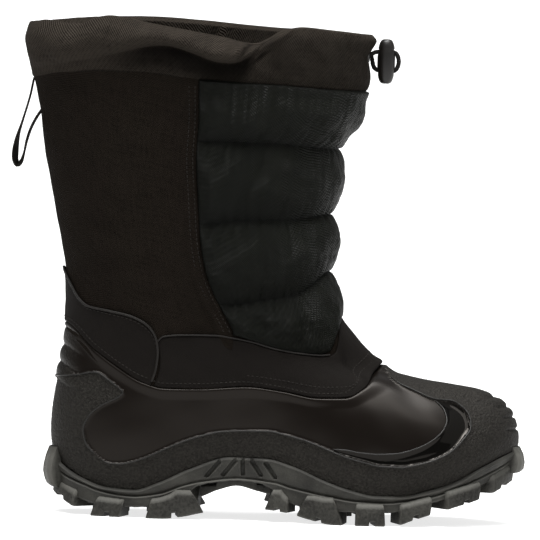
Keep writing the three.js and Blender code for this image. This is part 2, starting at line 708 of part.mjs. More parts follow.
function eyelet() {
  const { outerDiameter, holeDiameter, thickness } = EYELET;
  const half = thickness / 2;
  const profile = [
    [holeDiameter / 2, -half], [outerDiameter / 2 - 0.5, -half], [outerDiameter / 2, 0],
    [outerDiameter / 2 - 0.7, half], [holeDiameter / 2 + 0.6, half], [holeDiameter / 2, half * 0.4],
    [holeDiameter / 2, -half],
  ];
  const result = new THREE.LatheGeometry(profile.map(([r, y]) => new THREE.Vector2(r, y)), 24);
  result.rotateZ(-Math.PI / 2);
  return result;
}

// The cord's route in the boot's frame: out of the eyelet, through the stopper's upper hole, round
// the loop in front of it, back through the lower hole and into the eyelet.
function cordRoute() {
  const reach = STOPPER.holeSpacing / 2;
  const high = STOPPER.z + reach;
  const low = STOPPER.z - reach;
  const front = STOPPER.x + STOPPER.width / 2 - 1.4;
  const back = STOPPER.x - STOPPER.width / 2;
  const aside = (CORD_DIAMETER + GAP) / 2;
  const points = [
    [EYELET_X - 1.4, -aside, EYELET.z],
    [EYELET_X + 1.4, -aside, EYELET.z],
    [back - 1.2, -0.4, high - 0.3],
    [back + 2, 0, high],
    [front, 0, high],
  ];
  for (const angle of [60, 30, 0, -30, -60]) {
    const turn = THREE.MathUtils.degToRad(angle);
    points.push([front + reach * Math.cos(turn), 0, STOPPER.z + reach * Math.sin(turn)]);
  }
  points.push(
    [front, 0, low],
    [back + 2, 0, low],
    [back - 1.6, 0.5, low + 1.7],
    [EYELET_X + 1.4, aside, EYELET.z],
    [EYELET_X - 1.4, aside, EYELET.z],
  );
  return new THREE.CatmullRomCurve3(points.map((p) => new THREE.Vector3(...p)));
}

const CORD_STEPS = 22;

function drawcord() {
  const section = new THREE.Shape();
  for (let i = 0; i < CORD_SIDES; i += 1) {
    const turn = (2 * Math.PI * i) / CORD_SIDES;
    const at = [Math.cos(turn) * CORD_DIAMETER / 2, Math.sin(turn) * CORD_DIAMETER / 2];
    if (i === 0) section.moveTo(...at);
    else section.lineTo(...at);
  }
  section.closePath();
  return new THREE.ExtrudeGeometry(section, { steps: CORD_STEPS, extrudePath: cordRoute() });
}

function stopper() {
  const { length, width, depth, holeSpacing } = STOPPER;
  const bean = new THREE.SphereGeometry(1, 16, 10);
  const spot = new THREE.Vector3();
  const position = bean.attributes.position;
  for (let i = 0; i < position.count; i += 1) {
    spot.fromBufferAttribute(position, i);
    const blunt = Math.sign(spot.y) * Math.abs(spot.y) ** 0.8;
    const girth = Math.sqrt(Math.max(1e-6, 1 - spot.y * spot.y));
    const fill = girth ** 0.55 / girth;
    position.setXYZ(i, spot.x * fill * width / 2, spot.z * fill * depth / 2, blunt * length / 2);
  }
  const hole = (z) => new THREE.CylinderGeometry(
    STOPPER.holeRadius, STOPPER.holeRadius, width * 2, 10)
    .rotateZ(Math.PI / 2).translate(0, 0, z);
  bean.index.array.reverse();
  return cut(bean, [hole(holeSpacing / 2), hole(-holeSpacing / 2)]);
}

// ---------------------------------------------------------------- pull loop

const LOOP_ROUTE = table('x z', [
  [-146.2, 257.6], [-148.4, 252], [-150.2, 244], [-153.4, 234], [-156.2, 224], [-157, 215],
  [-155.9, 209.5], [-153.4, 208.4], [-151.6, 212], [-150.2, 220], [-148.4, 229], [-145.6, 236.5],
  [-143.0, 240.4],
]);
const LOOP_STEPS = 30;

function pullLoop() {
  const route = new THREE.CatmullRomCurve3(LOOP_ROUTE.map(({ x, z }) => new THREE.Vector3(x, z, 0)));
  const steps = Array.from({ length: LOOP_STEPS + 1 }, (_, i) => i / LOOP_STEPS);
  const edge = (side) => steps.map((u) => {
    const point = route.getPointAt(u);
    const tangent = route.getTangentAt(u);
    const offset = (side * TAPE_THICKNESS) / 2;
    return new THREE.Vector2(point.x - tangent.y * offset, point.y + tangent.x * offset);
  });
  const outline = new THREE.Shape([...edge(1), ...edge(-1).reverse()]);
  const tape = new THREE.ExtrudeGeometry(outline, { depth: TAPE_WIDTH, bevelEnabled: false });
  return tape.translate(0, 0, -TAPE_WIDTH / 2).rotateX(Math.PI / 2);
}

// ---------------------------------------------------------------- the boot

function material(color, roughness, metalness = 0) {
  return new THREE.MeshStandardMaterial({ color, roughness, metalness });
}

const MATERIALS = {
  soleRubber: material(0x4b4e4a, 0.75),
  shellRubber: material(0x17181a, 0.35),
  wovenFabric: material(0x1d1b1a, 0.95),
  nylon: material(0x171a18, 0.6),
  collarFabric: material(0x211e1c, 0.95),
  footbed: material(0x2b2b2d, 0.95),
  blackMetal: material(0x2a2a2a, 0.4, 0.8),
  cordFabric: material(0x141414, 0.9),
  mouldedPlastic: material(0x1f1b1a, 0.45),
  tape: material(0x141414, 0.9),
};

function piece(name, shape, finish, place = [0, 0, 0]) {
  const mesh = new THREE.Mesh(shape, finish);
  mesh.name = name;
  mesh.position.set(...place);
  return mesh;
}

const boot = new THREE.Group();
boot.add(
  piece('outsole', outsole(), MATERIALS.soleRubber),
  piece('shell', shell(), MATERIALS.shellRubber),
  piece('upper', upper(), MATERIALS.wovenFabric),
  piece('insole', insole(), MATERIALS.footbed),
  piece('quilted_panel', quiltedPanel(), MATERIALS.nylon),
  piece('collar', collar(), MATERIALS.collarFabric),
  piece('eyelet', eyelet(), MATERIALS.blackMetal, [EYELET_X, 0, EYELET.z]),
  piece('drawcord', drawcord(), MATERIALS.cordFabric),
  piece('cord_stopper', stopper(), MATERIALS.mouldedPlastic, [STOPPER.x, 0, STOPPER.z]),
  piece('pull_loop', pullLoop(), MATERIALS.tape),
);

export default boot;
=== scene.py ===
# A right-foot snow boot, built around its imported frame. Tables are in millimetres: +Z up, the toe
# towards +X, the outer side towards -Y. Meshes are made in metres.

import math

import bpy
import numpy as np
from mathutils import Matrix, Vector


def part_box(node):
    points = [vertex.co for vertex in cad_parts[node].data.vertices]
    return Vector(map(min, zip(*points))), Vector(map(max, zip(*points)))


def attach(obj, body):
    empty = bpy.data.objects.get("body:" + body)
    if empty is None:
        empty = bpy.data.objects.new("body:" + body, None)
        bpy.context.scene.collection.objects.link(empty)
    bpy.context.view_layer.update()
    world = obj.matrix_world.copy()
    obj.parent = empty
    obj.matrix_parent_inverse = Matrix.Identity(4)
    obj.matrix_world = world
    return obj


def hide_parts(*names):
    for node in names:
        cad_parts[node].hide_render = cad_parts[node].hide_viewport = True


MM = 0.001
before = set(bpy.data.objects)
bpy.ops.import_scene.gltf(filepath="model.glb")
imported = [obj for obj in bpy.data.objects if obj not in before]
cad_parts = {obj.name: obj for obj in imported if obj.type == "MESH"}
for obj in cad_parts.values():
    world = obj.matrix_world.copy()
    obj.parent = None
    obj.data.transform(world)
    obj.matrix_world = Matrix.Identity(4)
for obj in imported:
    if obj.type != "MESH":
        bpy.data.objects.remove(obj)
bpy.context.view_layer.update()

# ---------------------------------------------------------------- camera

CAMERA_AIM = np.array([0.0, 0.0, 150.0])
CAMERA_DISTANCE = 6045.0
CAMERA_ELEVATION = math.radians(2.6)
CAMERA_ROLL = 0.0314
CAMERA_OFFSET = (-1.18, -0.13)    # mm right and up, which places the boot in the frame
LENS = 666.7
SENSOR = 36.0


def make_camera():
    forward = np.array([0, math.cos(CAMERA_ELEVATION), -math.sin(CAMERA_ELEVATION)])
    level_right = np.array([1.0, 0, 0])
    level_up = np.array([0, math.sin(CAMERA_ELEVATION), math.cos(CAMERA_ELEVATION)])
    c, s = math.cos(CAMERA_ROLL), math.sin(CAMERA_ROLL)
    right = c * level_right + s * level_up
    up = c * level_up - s * level_right
    place = CAMERA_AIM - forward * CAMERA_DISTANCE + right * CAMERA_OFFSET[0] + up * CAMERA_OFFSET[1]
    matrix = Matrix.Identity(4)
    for row in range(3):
        matrix[row][0], matrix[row][1], matrix[row][2] = right[row], up[row], -forward[row]
        matrix[row][3] = place[row] * MM
    data = bpy.data.cameras.new("camera")
    data.lens, data.sensor_width = LENS, SENSOR
    data.clip_end = 100
    camera = bpy.data.objects.new("camera", data)
    camera.matrix_world = matrix
    bpy.context.scene.collection.objects.link(camera)
    bpy.context.scene.camera = camera


make_camera()

# ---------------------------------------------------------------- tables of the last


def table(names, rows):
    return {name: np.array(values, float) for name, values in zip(names.split(), zip(*rows))}


# A ring of the last at each level: where it ends at the back and front, half its width at the
# stations, the radii of its ends, how far its toe swings to the inner side, how far the inner waist
# is hollowed, and how much of the stations' dips it takes.
RINGS = table("level backX backZ frontX frontZ heel waist ball toe backR frontR swing hollow sag", [
    [20, -121.0, 21, 143.0, 37, 34.0, 35.0, 48.0, 34.0, 29, 36, 8, 6, 1.0],
    [36, -127.8, 35, 149.8, 43, 36.5, 37.5, 51.0, 37.0, 32, 38, 8, 5, 0.65],
    [52, -130.0, 52, 152.0, 53, 37.3, 39.0, 51.0, 37.5, 33, 37, 8, 4, 0.25],
    [65, -129.3, 66, 150.0, 63, 36.9, 39.6, 47.0, 32.0, 32, 30, 7, 3, 0],
    [78, -127.4, 80, 142.8, 74, 35.8, 39.8, 41.5, 23.5, 31, 22, 6, 1.5, 0],
    [89, -124.6, 94, 124.5, 81.5, 34.8, 39.6, 37.0, 17.5, 30, 17, 4.5, 0.5, 0],
    [98, -122.4, 106, 98.0, 85, 34.0, 39.6, 35.5, 16.0, 29, 15, 3, 0, 0],
    [106, -121.4, 116, 76.5, 90, 33.6, 39.8, 35.5, 16.5, 28, 15, 2, 0, 0],
    [115, -121.0, 125, 62.0, 100, 33.8, 40.4, 36.5, 18.0, 28, 16, 1, 0, 0],
    [125, -121.2, 135, 50.5, 112, 34.2, 41.3, 38.0, 20.0, 28, 18, 0.5, 0, 0],
    [138, -122.4, 147, 41.0, 125, 35.0, 42.5, 40.0, 22.5, 28, 20, 0, 0, 0],
    [158, -126.0, 165, 33.5, 150, 36.0, 44.0, 42.0, 24.5, 28, 22, 0, 0, 0],
    [190, -132.4, 195, 33.0, 186, 37.2, 46.0, 44.5, 26.0, 29, 24, 0, 0, 0],
    [225, -138.8, 227, 36.5, 225, 38.4, 48.0, 46.8, 27.5, 30, 26, 0, 0, 0],
    [261, -145.0, 262, 52.0, 260, 40.0, 50.0, 49.0, 29.5, 31, 27, 0, 0, 0],
    [282, -151.6, 285, 53.5, 280, 41.0, 51.5, 50.0, 30.0, 31, 27, 0, 0, 0],
    [296, -149.0, 297, 56.0, 291, 40.5, 51.0, 49.5, 29.5, 30, 26, 0, 0, 0],
])
STATION_NAMES = ("heel", "waist", "ball", "toe")
STATION_SHARES = np.array([0.15, 0.42, 0.68, 0.92])
STATION_DIPS = np.array([-8.0, 3.0, -18.0, -7.5])
HOLLOW_REACH = 0.26            # in shares of the length, like the stations
SWING_START = 0.4

COLLAR_SEAM = table("x z", [
    [-146, 263], [-130, 266], [-105, 269], [-75, 268.5], [-47, 265], [-5, 263], [54, 260],
])
SHELL_TOP = table("x z", [
    [-122, 115], [-104, 99.5], [-89, 89], [-76, 82], [-62, 78.5], [-40, 79], [-12, 81], [8, 79],
    [30, 75.5], [46, 76], [57, 82], [64, 91], [69, 95],
])
QUILT_FOOT = table("x z", [
    [-22, 111], [-12, 108.5], [4, 104], [18, 101.5], [30, 100.5], [37, 102], [41, 113], [43, 123],
])
QUILT_SEAM_LOW = table("x z", [[-29, 130], [-4, 133.5], [13, 136], [23, 142], [33, 150]])
QUILT_SEAM_MID = table("x z", [[-43, 178], [-20, 181], [12, 182], [34, 185]])
QUILT_SEAM_HIGH = table("x z", [[-45, 228], [-5, 228], [37, 225]])
SIDE_SEAM = table("x z", [
    [-22, 111], [-29, 126], [-35, 137], [-40, 150], [-43.5, 168], [-45.7, 193], [-47.5, 219],
    [-46.8, 240], [-47.5, 266],
])
SOLE_RIM = table("x z", [
    [-130, 40], [-124, 32], [-111, 23.5], [-95, 18], [-79, 17], [-64, 22], [-45, 31], [-21, 38.5],
    [0, 38.3], [16, 34.5], [37, 26], [51, 21.5], [66, 18.5], [81, 18.5], [97, 22], [113, 27.5],
    [129, 36.5], [147, 45], [153, 47],
])
SOLE_GROOVE = table("x z", [
    [-132, 33], [-128.7, 30.6], [-118, 22.4], [-107, 18], [-95, 14.6], [-80, 13.2], [-63, 15.3],
    [-48, 20.8], [-37, 23.6], [-16, 26.1], [6, 24.1], [14, 21.8], [27, 19.0], [41, 16.6], [54, 14.9],
    [70, 14.4], [97, 17.6], [113, 22.7], [126, 28.9], [137, 34.6], [147, 40.5], [154, 43],
])
SOLE_EDGE = table("x z", [
    [-127, 16], [-114, 10.4], [-103, 7.4], [-84, 6.3], [-72, 6.7], [-56, 9.5], [-46, 16], [-40, 20.5],
    [-30, 23], [-16, 24.4], [-3, 23], [5, 19], [14, 12.5], [24, 9.5], [40, 8], [72, 8], [99, 14],
    [110, 17.2], [128, 23.7], [136, 27.6], [148, 33.5],
])
TREAD = table("x z", [
    [-136, 30], [-128, 15], [-115, 5.5], [-104, 0], [-64, 0], [-50, 1.5], [-36, 4.5], [0, 7.5],
    [14, 6], [28, 2.5], [42, 0], [76, 0], [90, 4.5], [110, 11], [128, 17], [150, 29], [158, 35],
])

# ---------------------------------------------------------------- curves


def mix(a, b, share):
    return a + (b - a) * share


def bell(value, width):
    return np.exp(-(value / width) ** 2)


def shares(count):
    """A column of shares from 0 to 1, one for each row of a grid."""
    return np.linspace(0, 1, count)[:, None]


def ease(value):
    share = np.clip(value, 0, 1)
    return share * share * (3 - 2 * share)


def cubic(a, b, slope_a, slope_b, step, u):
    """A cubic from a to b over step with given slopes at its ends, at the share u of the way."""
    lean = slope_a * step * (1 - u) - slope_b * step * u
    return a + (b - a) * u * u * (3 - 2 * u) + u * (1 - u) * lean


def hermite(xs, ys, slopes, x):
    """A curve through points with given slopes, carried on straight past both ends."""
    i = np.clip(np.searchsorted(xs, x, side="right") - 1, 0, len(xs) - 2)
    step = xs[i + 1] - xs[i]
    u = np.clip((x - xs[i]) / step, 0, 1)
    below = np.minimum(x - xs[0], 0) * slopes[0]
    above = np.maximum(x - xs[-1], 0) * slopes[-1]
    return cubic(ys[i], ys[i + 1], slopes[i], slopes[i + 1], step, u) + below + above


def spline(xs, ys):
    """The smoothest curve through the points."""
    n = len(xs)
    step = np.diff(xs)
    steep = np.diff(ys) / step
    matrix = np.zeros((n, n))
    value = np.zeros(n)
    matrix[0, :2] = 2, 1
    matrix[-1, -2:] = 1, 2
    value[0], value[-1] = 3 * steep[0], 3 * steep[-1]
    for i in range(1, n - 1):
        before, after = 1 / step[i - 1], 1 / step[i]
        matrix[i, i - 1:i + 2] = before, 2 * (before + after), after
        value[i] = 3 * (before * steep[i - 1] + after * steep[i])
    slopes = np.linalg.solve(matrix, value)
    return lambda x: hermite(xs, ys, slopes, np.asarray(x, float))


def drawn(xs, ys):
    """A curve through the points that never overshoots them."""
    xs, ys = np.asarray(xs, float), np.asarray(ys, float)
    steep = np.diff(ys) / np.diff(xs)
    slopes = np.zeros(len(xs))
    before, after = steep[:-1], steep[1:]
    safe = np.where(before + after == 0, 1, before + after)
    slopes[1:-1] = np.where(before * after <= 0, 0, 2 * before * after / safe)
    return lambda x: hermite(xs, ys, slopes, np.asarray(x, float))


def line(rows):
    """Height as a curve of x, through the rows of a table."""
    return drawn(rows["x"], rows["z"])


def run_along(points):
    """The length of a line up to each of its points."""
    return np.concatenate([[0], np.cumsum(np.linalg.norm(np.diff(points, axis=0), axis=1))])


def sample(points, run, at):
    """Points of a line at lengths along it."""
    return np.stack([np.interp(at, run, column) for column in np.transpose(points)], axis=-1)


def even(points, count):
    """The points of a line resampled evenly by length."""
    run = run_along(points)
    return sample(points, run, np.linspace(0, run[-1], count))


def smooth_line(rows, count=80):
    """A smooth line in the side view through the rows of a table, which may turn back on itself."""
    points = np.stack([rows["x"], rows["z"]], axis=1)
    run = run_along(points)
    at = np.linspace(0, run[-1], count * 4)
    return even(np.stack([drawn(run, column)(at) for column in points.T], axis=1), count)


ring = {name: spline(RINGS["level"], RINGS[name]) for name in RINGS}
LOW, HIGH = RINGS["level"][0], RINGS["level"][-1]
station_turns = np.concatenate([[0], np.arccos(1 - 2 * STATION_SHARES) / math.pi, [1]])
dip_at = drawn(np.concatenate([[0], STATION_SHARES, [1]]), np.concatenate([[0], STATION_DIPS, [0]]))
collar_seam, shell_top, sole_rim = line(COLLAR_SEAM), line(SHELL_TOP), line(SOLE_RIM)
sole_groove, sole_edge, tread = line(SOLE_GROOVE), line(SOLE_EDGE), line(TREAD)

# ---------------------------------------------------------------- the surface of the last


def pick(stack, places):
    """For each place, its own layer of a stack of arrays."""
    return np.take_along_axis(stack, places[None], 0)[0]


def half_width(turn, level):
    """Half the last's width at places around it, without the sine that closes it at both ends."""
    half = (ring["frontX"](level) - ring["backX"](level)) / 2
    values = [np.sqrt(ring["backR"](level) * half)]
    for name, station in zip(STATION_NAMES, station_turns[1:-1]):
        values.append(ring[name](level) / math.sin(math.pi * station))
    values.append(np.sqrt(ring["frontR"](level) * half))
    values = np.stack(np.broadcast_arrays(*values))
    slopes = np.zeros_like(values)
    spans = (station_turns[2:] - station_turns[:-2]).reshape((-1,) + (1,) * (values.ndim - 1))
    slopes[1:-1] = (values[2:] - values[:-2]) / spans
    i = np.clip(np.searchsorted(station_turns, turn, side="right") - 1, 0, len(station_turns) - 2)
    step = station_turns[i + 1] - station_turns[i]
    u = (turn - station_turns[i]) / step
    return cubic(pick(values, i), pick(values, i + 1), pick(slopes, i), pick(slopes, i + 1), step, u)


def last_point(around, level):
    """Points of the last. around runs 0 to 2 from the back, along the outer side, to the toe at 1."""
    around, level = np.broadcast_arrays(np.asarray(around, float), np.asarray(level, float))
    turn = np.mod(around, 2)
    outer = turn <= 1
    t = np.where(outer, turn, 2 - turn)
    share = (1 - np.cos(math.pi * t)) / 2
    swing = ring["swing"](level) * ease((share - SWING_START) / (1 - SWING_START))
    thin = np.maximum(0, 1 - ((share - STATION_SHARES[1]) / HOLLOW_REACH) ** 2) ** 2
    hollow = np.where(outer, 0, ring["hollow"](level) * thin)
    half = half_width(t, level) * np.sin(math.pi * t) - hollow
    x = mix(ring["backX"](level), ring["frontX"](level), share)
    y = swing + np.where(outer, -half, half)
    z = mix(ring["backZ"](level), ring["frontZ"](level), share) + ring["sag"](level) * dip_at(share)
    return np.stack([x, y, z], axis=-1)


def unit(vectors):
    return vectors / np.maximum(np.linalg.norm(vectors, axis=-1, keepdims=True), 1e-9)


TURN_STEP, LEVEL_STEP = 0.004, 0.4      # how far apart the points are that give a normal
LEVEL_MARGIN = 8               # how far past the rings' levels a line is looked for
PLAN = np.array([1, 1, 0])     # takes the height out of a direction


def last_xyz(around, level):
    return np.moveaxis(last_point(around, level), -1, 0)


def last_normal(around, level):
    along = last_point(around + TURN_STEP, level) - last_point(around - TURN_STEP, level)
    up = last_point(around, level + LEVEL_STEP) - last_point(around, level - LEVEL_STEP)
    return unit(np.cross(along, up))


def offset(around, level, out):
    """Points that stand out from the last by out."""
    around, level, out = np.broadcast_arrays(np.asarray(around, float), level, out)
    return last_point(around, level) + last_normal(around, level) * out[..., None]


def bisect(is_past, low, high, steps=28):
    """The value between low and high past which is_past holds."""
    for _ in range(steps):
        middle = (low + high) / 2
        past = is_past(middle)
        low, high = np.where(past, low, middle), np.where(past, middle, high)
    return (low + high) / 2


def level_on(line_at, around):
    """The level at which a side-view line crosses the last, at places around it."""
    def is_past(level):
        point = last_point(around, level)
        return point[..., 2] > line_at(point[..., 0])

    return bisect(is_past, LOW - LEVEL_MARGIN, HIGH + LEVEL_MARGIN)


def place(x, z):
    """(around, level) of the outer side's points that are seen at (x, z) from the side."""
    x, z = np.asarray(x, float), np.asarray(z, float)

    def share_at(level):
        back, front = ring["backX"](level), ring["frontX"](level)
        return np.clip((x - back) / (front - back), 0, 1)

    def is_past(level):
        share = share_at(level)
        height = mix(ring["backZ"](level), ring["frontZ"](level), share)
        return height + ring["sag"](level) * dip_at(share) > z

    level = bisect(is_past, LOW - LEVEL_MARGIN, HIGH + LEVEL_MARGIN)
    return np.arccos(1 - 2 * share_at(level)) / math.pi, level


def even_turns(level, count):
    """Places around a ring that lie evenly along it, the first not repeated."""
    fine = np.linspace(0, 2, 3001)
    run = run_along(last_point(fine, level))
    return np.interp(np.linspace(0, run[-1], count + 1)[:-1], run, fine)


# ---------------------------------------------------------------- side-view fields


def nearest(x, z, a, b):
    """(distance, share of the way) of side-view places from the straight line between a and b."""
    ab = np.subtract(b, a)
    share = np.clip(((x - a[0]) * ab[0] + (z - a[1]) * ab[1]) / max(ab @ ab, 1e-12), 0, 1)
    return np.hypot(x - a[0] - share * ab[0], z - a[1] - share * ab[1]), share


def distance_to(x, z, points):
    """(distance, share of the length) of side-view places from a line of points."""
    best, where = np.full(np.shape(x), np.inf), np.zeros(np.shape(x))
    run = run_along(points)
    for i, (a, b) in enumerate(zip(points, points[1:])):
        gap, share = nearest(x, z, a, b)
        where = np.where(gap < best, mix(run[i], run[i + 1], share) / run[-1], where)
        best = np.minimum(gap, best)
    return best, where


def inside_of(x, z, points):
    """Whether side-view places lie inside a closed outline."""
    result = np.zeros(np.shape(x), bool)
    for (x0, z0), (x1, z1) in zip(points, np.roll(points, -1, axis=0)):
        crosses = (z0 > z) != (z1 > z)
        reach = (x1 - x0) * (z - z0) / (z1 - z0 if z1 != z0 else 1e-9) + x0
        result ^= crosses & (x < reach)
    return result


def signed_depth(x, z, points):
    """How deep side-view places lie inside a closed outline, negative outside it."""
    gap, _ = distance_to(x, z, np.vstack([points, points[:1]]))
    return np.where(inside_of(x, z, points), gap, -gap)


def creases(x, z, rows):
    """Soft ridges (height above zero) and troughs (below) drawn as strokes in the side view."""
    total = np.zeros(np.shape(x))
    for x0, z0, x1, z1, width, height in zip(*rows.values()):
        gap, share = nearest(x, z, (x0, z0), (x1, z1))
        fade = 0.35 + 0.65 * np.sin(math.pi * np.clip(share, 0.03, 0.97)) ** 0.7
        total += height * fade * bell(gap, width)
    return total


def waves(u, v, scale, seed, count=12):
    """Smooth random undulation about -1 to 1, the same at each run."""
    draw = np.random.default_rng(seed)
    total = np.zeros(np.broadcast(u, v).shape)
    for _ in range(count):
        angle, phase = draw.uniform(0, 2 * math.pi, 2)
        pace = 2 * math.pi / (scale * draw.uniform(0.6, 1.7))
        total = total + np.sin((u * math.cos(angle) + v * math.sin(angle)) * pace + phase)
    return total / math.sqrt(count)


# ---------------------------------------------------------------- meshes


def make(name, points, quads, material, slot, node=None, uv=None, fields=None, sharp=None):
    """A piece from points in mm and quads (a repeated corner makes a triangle)."""
    points = np.asarray(points, float).reshape(-1, 3) * MM
    quads = np.asarray(quads, int).reshape(-1, 4)
    mesh = bpy.data.meshes.new(name)
    mesh.vertices.add(len(points))
    mesh.vertices.foreach_set("co", points.ravel())
    used = np.ones(quads.shape, bool)
    used[:, 3] = quads[:, 3] != quads[:, 2]
    mesh.loops.add(int(used.sum()))
    mesh.loops.foreach_set("vertex_index", quads[used])
    mesh.polygons.add(len(quads))
    mesh.polygons.foreach_set("loop_start", np.concatenate([[0], np.cumsum(used.sum(axis=1))[:-1]]))
    if uv is not None:
        layer = mesh.uv_layers.new(name="UVMap")
        layer.data.foreach_set("uv", (np.asarray(uv, float).reshape(-1, 4, 2)[used] * MM).ravel())
    mesh.update(calc_edges=True)
    for key, values in (fields or {}).items():
        attribute = mesh.attributes.new(key, "FLOAT", "POINT")
        attribute.data.foreach_set("value", np.ravel(values).astype(np.float32))
    mesh.validate()
    mesh.shade_smooth()
    if sharp is not None:
        mesh.set_sharp_from_angle(angle=math.radians(sharp))
    mesh.materials.append(material)
    piece = bpy.data.objects.new(name, mesh)
    bpy.context.scene.collection.objects.link(piece)
    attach(piece, "root")
    if node:
        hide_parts(node)
    return piece


def grid_quads(rows, columns, wrap=False):
    """Quads of a grid and, for each, the four places in a (rows, columns + 1) grid of UVs."""
    across = columns if wrap else columns - 1
    r, c = np.meshgrid(np.arange(rows - 1), np.arange(across), indexing="ij")
    nxt = (c + 1) % columns
    quads = np.stack([r * columns + c, r * columns + nxt, (r + 1) * columns + nxt,
                      (r + 1) * columns + c], axis=-1).reshape(-1, 4)
    wide = columns + 1 if wrap else columns
    places = np.stack([r * wide + c, r * wide + c + 1, (r + 1) * wide + c + 1,
                       (r + 1) * wide + c], axis=-1).reshape(-1, 4)
    return quads, places


def grid_body(grid, wrap=False, flip=False):
    """Points and quads of a grid of points."""
    quads, _ = grid_quads(*grid.shape[:2], wrap=wrap)
    return grid.reshape(-1, 3), quads[:, ::-1] if flip else quads


def grid_uv(points, wrap=False):
    """Lengths along a grid of points: around its middle row, and up each column."""
    middle = points[len(points) // 2]
    rise = np.linalg.norm(np.diff(points, axis=0), axis=2)
    v = np.vstack([np.zeros(points.shape[1]), np.cumsum(rise, axis=0)])
    if wrap:
        middle = np.vstack([middle, middle[:1]])
        v = np.hstack([v, v[:, :1]])
    return np.stack(np.broadcast_arrays(run_along(middle), v), axis=-1)


def sheet_piece(name, points, material, slot, **more):
    """A piece from one grid of points (rows up, columns around, seen from outside)."""
    quads, places = grid_quads(*points.shape[:2])
    uv = grid_uv(points).reshape(-1, 2)[places.ravel()]
    return make(name, points, quads, material, slot, uv=uv, **more)


def tube_piece(name, outside, inside, material, slot, **more):
    """A closed tube from rings up its outside and on down its inside."""
    loop = np.concatenate([outside, inside[::-1], outside[:1]])
    rows, columns = loop.shape[:2]
    quads, places = grid_quads(rows, columns, wrap=True)
    quads %= (rows - 1) * columns
    uv = grid_uv(loop, wrap=True).reshape(-1, 2)[places.ravel()]
    return make(name, loop[:-1], quads, material, slot, uv=uv, **more)


def sweep(path, sections):
    """Points and quads of sections (in the path's normal and side directions) swept along a path."""
    tangents = unit(np.gradient(path, axis=0))
    normal = unit(np.cross(tangents[0], [0.3, 0.9, 0.2]))
    rings = []
    for point, tangent, section in zip(path, tangents, sections):
        normal = unit(normal - tangent * (normal @ tangent))
        rings.append(point + section[:, :1] * normal + section[:, 1:] * np.cross(tangent, normal))
    return cap_rings(rings)


def cap_rings(rings):
    """Points and quads of a closed body through rings of points, its ends closed by fans."""
    rings = np.asarray(rings, float)
    count, sides = rings.shape[:2]
    quads, _ = grid_quads(count, sides, wrap=True)
    points = np.vstack([rings.reshape(-1, 3), rings[[0, -1]].mean(axis=1)])
    first, last = count * sides, count * sides + 1
    i = np.arange(sides)
    j = (i + 1) % sides
    low = np.stack([np.full(sides, first), j, i, i], axis=1)
    k, m = i + first - sides, j + first - sides
    high = np.stack([np.full(sides, last), k, m, m], axis=1)
    return points, np.vstack([quads, low, high])


def circle(radius, sides):
    turn = np.linspace(0, 2 * math.pi, sides, endpoint=False)
    return np.stack([np.cos(turn), np.sin(turn)], axis=1) * radius


def join_bodies(bodies):
    """Points and quads of several bodies as one."""
    points, quads, count = [], [], 0
    for body_points, body_quads in bodies:
        points.append(body_points)
        quads.append(body_quads + count)
        count += len(body_points)
    return np.vstack(points), np.vstack(quads)


# ---------------------------------------------------------------- materials


class Paint:
    """A procedural material being put together."""

    def __init__(self, name, color, roughness, sockets=()):
        self.material = bpy.data.materials.new(name)
        self.material.use_nodes = True
        self.tree = self.material.node_tree
        self.shader = self.tree.nodes["Principled BSDF"]
        self.set("Base Color", (*color, 1))
        self.set("Roughness", roughness)
        for key, value in dict(sockets).items():
            self.set(key, value)

    def feed(self, socket, value):
        """Link a socket to another one, or give it a value of its own."""
        if isinstance(value, bpy.types.NodeSocket):
            self.tree.links.new(value, socket)
        else:
            socket.default_value = value

    def set(self, key, value):
        self.feed(self.shader.inputs[key], value)

    def node(self, kind, inputs=(), **settings):
        node = self.tree.nodes.new(kind)
        for key, value in settings.items():
            setattr(node, key, value)
        for key, value in dict(inputs).items():
            self.feed(node.inputs[key], value)
        return node

    def math(self, operation, a, b=0.0, c=0.0):
        return self.node("ShaderNodeMath", {0: a, 1: b, 2: c}, operation=operation).outputs[0]

    def scaled(self, vector, scale):
        node = self.node("ShaderNodeVectorMath", {0: vector, 1: scale}, operation="MULTIPLY")
        return node.outputs[0]

    def uv(self):
        return self.node("ShaderNodeUVMap", uv_map="UVMap").outputs[0]

    def spot(self):
        return self.node("ShaderNodeTexCoord").outputs["Object"]

    def noise(self, vector, scale, detail=3.0, roughness=0.55):
        inputs = {"Vector": vector, "Scale": scale, "Detail": detail, "Roughness": roughness}
        return self.node("ShaderNodeTexNoise", inputs).outputs["Fac"]

    def cells(self, vector, scale):
        node = self.node("ShaderNodeTexVoronoi", {"Vector": vector, "Scale": scale})
        return node.outputs["Distance"]

    def field(self, name):
        return self.node("ShaderNodeAttribute", attribute_name=name).outputs["Fac"]

    def between(self, value, low, high):
        """value stretched so that low to high becomes 0 to 1."""
        inputs = {"Value": value, "From Min": low, "From Max": high}
        return self.node("ShaderNodeMapRange", inputs).outputs["Result"]

    def blend(self, share, a, b):
        """A colour between two colours."""
        a, b = ((*color, 1) if isinstance(color, tuple) else color for color in (a, b))
        return self.node("ShaderNodeMix", {"Factor": share, 6: a, 7: b}, data_type="RGBA").outputs[2]

    def number(self, share, a, b):
        """A number between two numbers."""
        return self.math("MULTIPLY_ADD", share, b - a, a)

    def bump(self, height, distance, strength=1.0, after=None):
        inputs = {"Height": height, "Distance": distance * MM, "Strength": strength}
        if after is not None:
            inputs["Normal"] = after
        return self.node("ShaderNodeBump", inputs).outputs["Normal"]


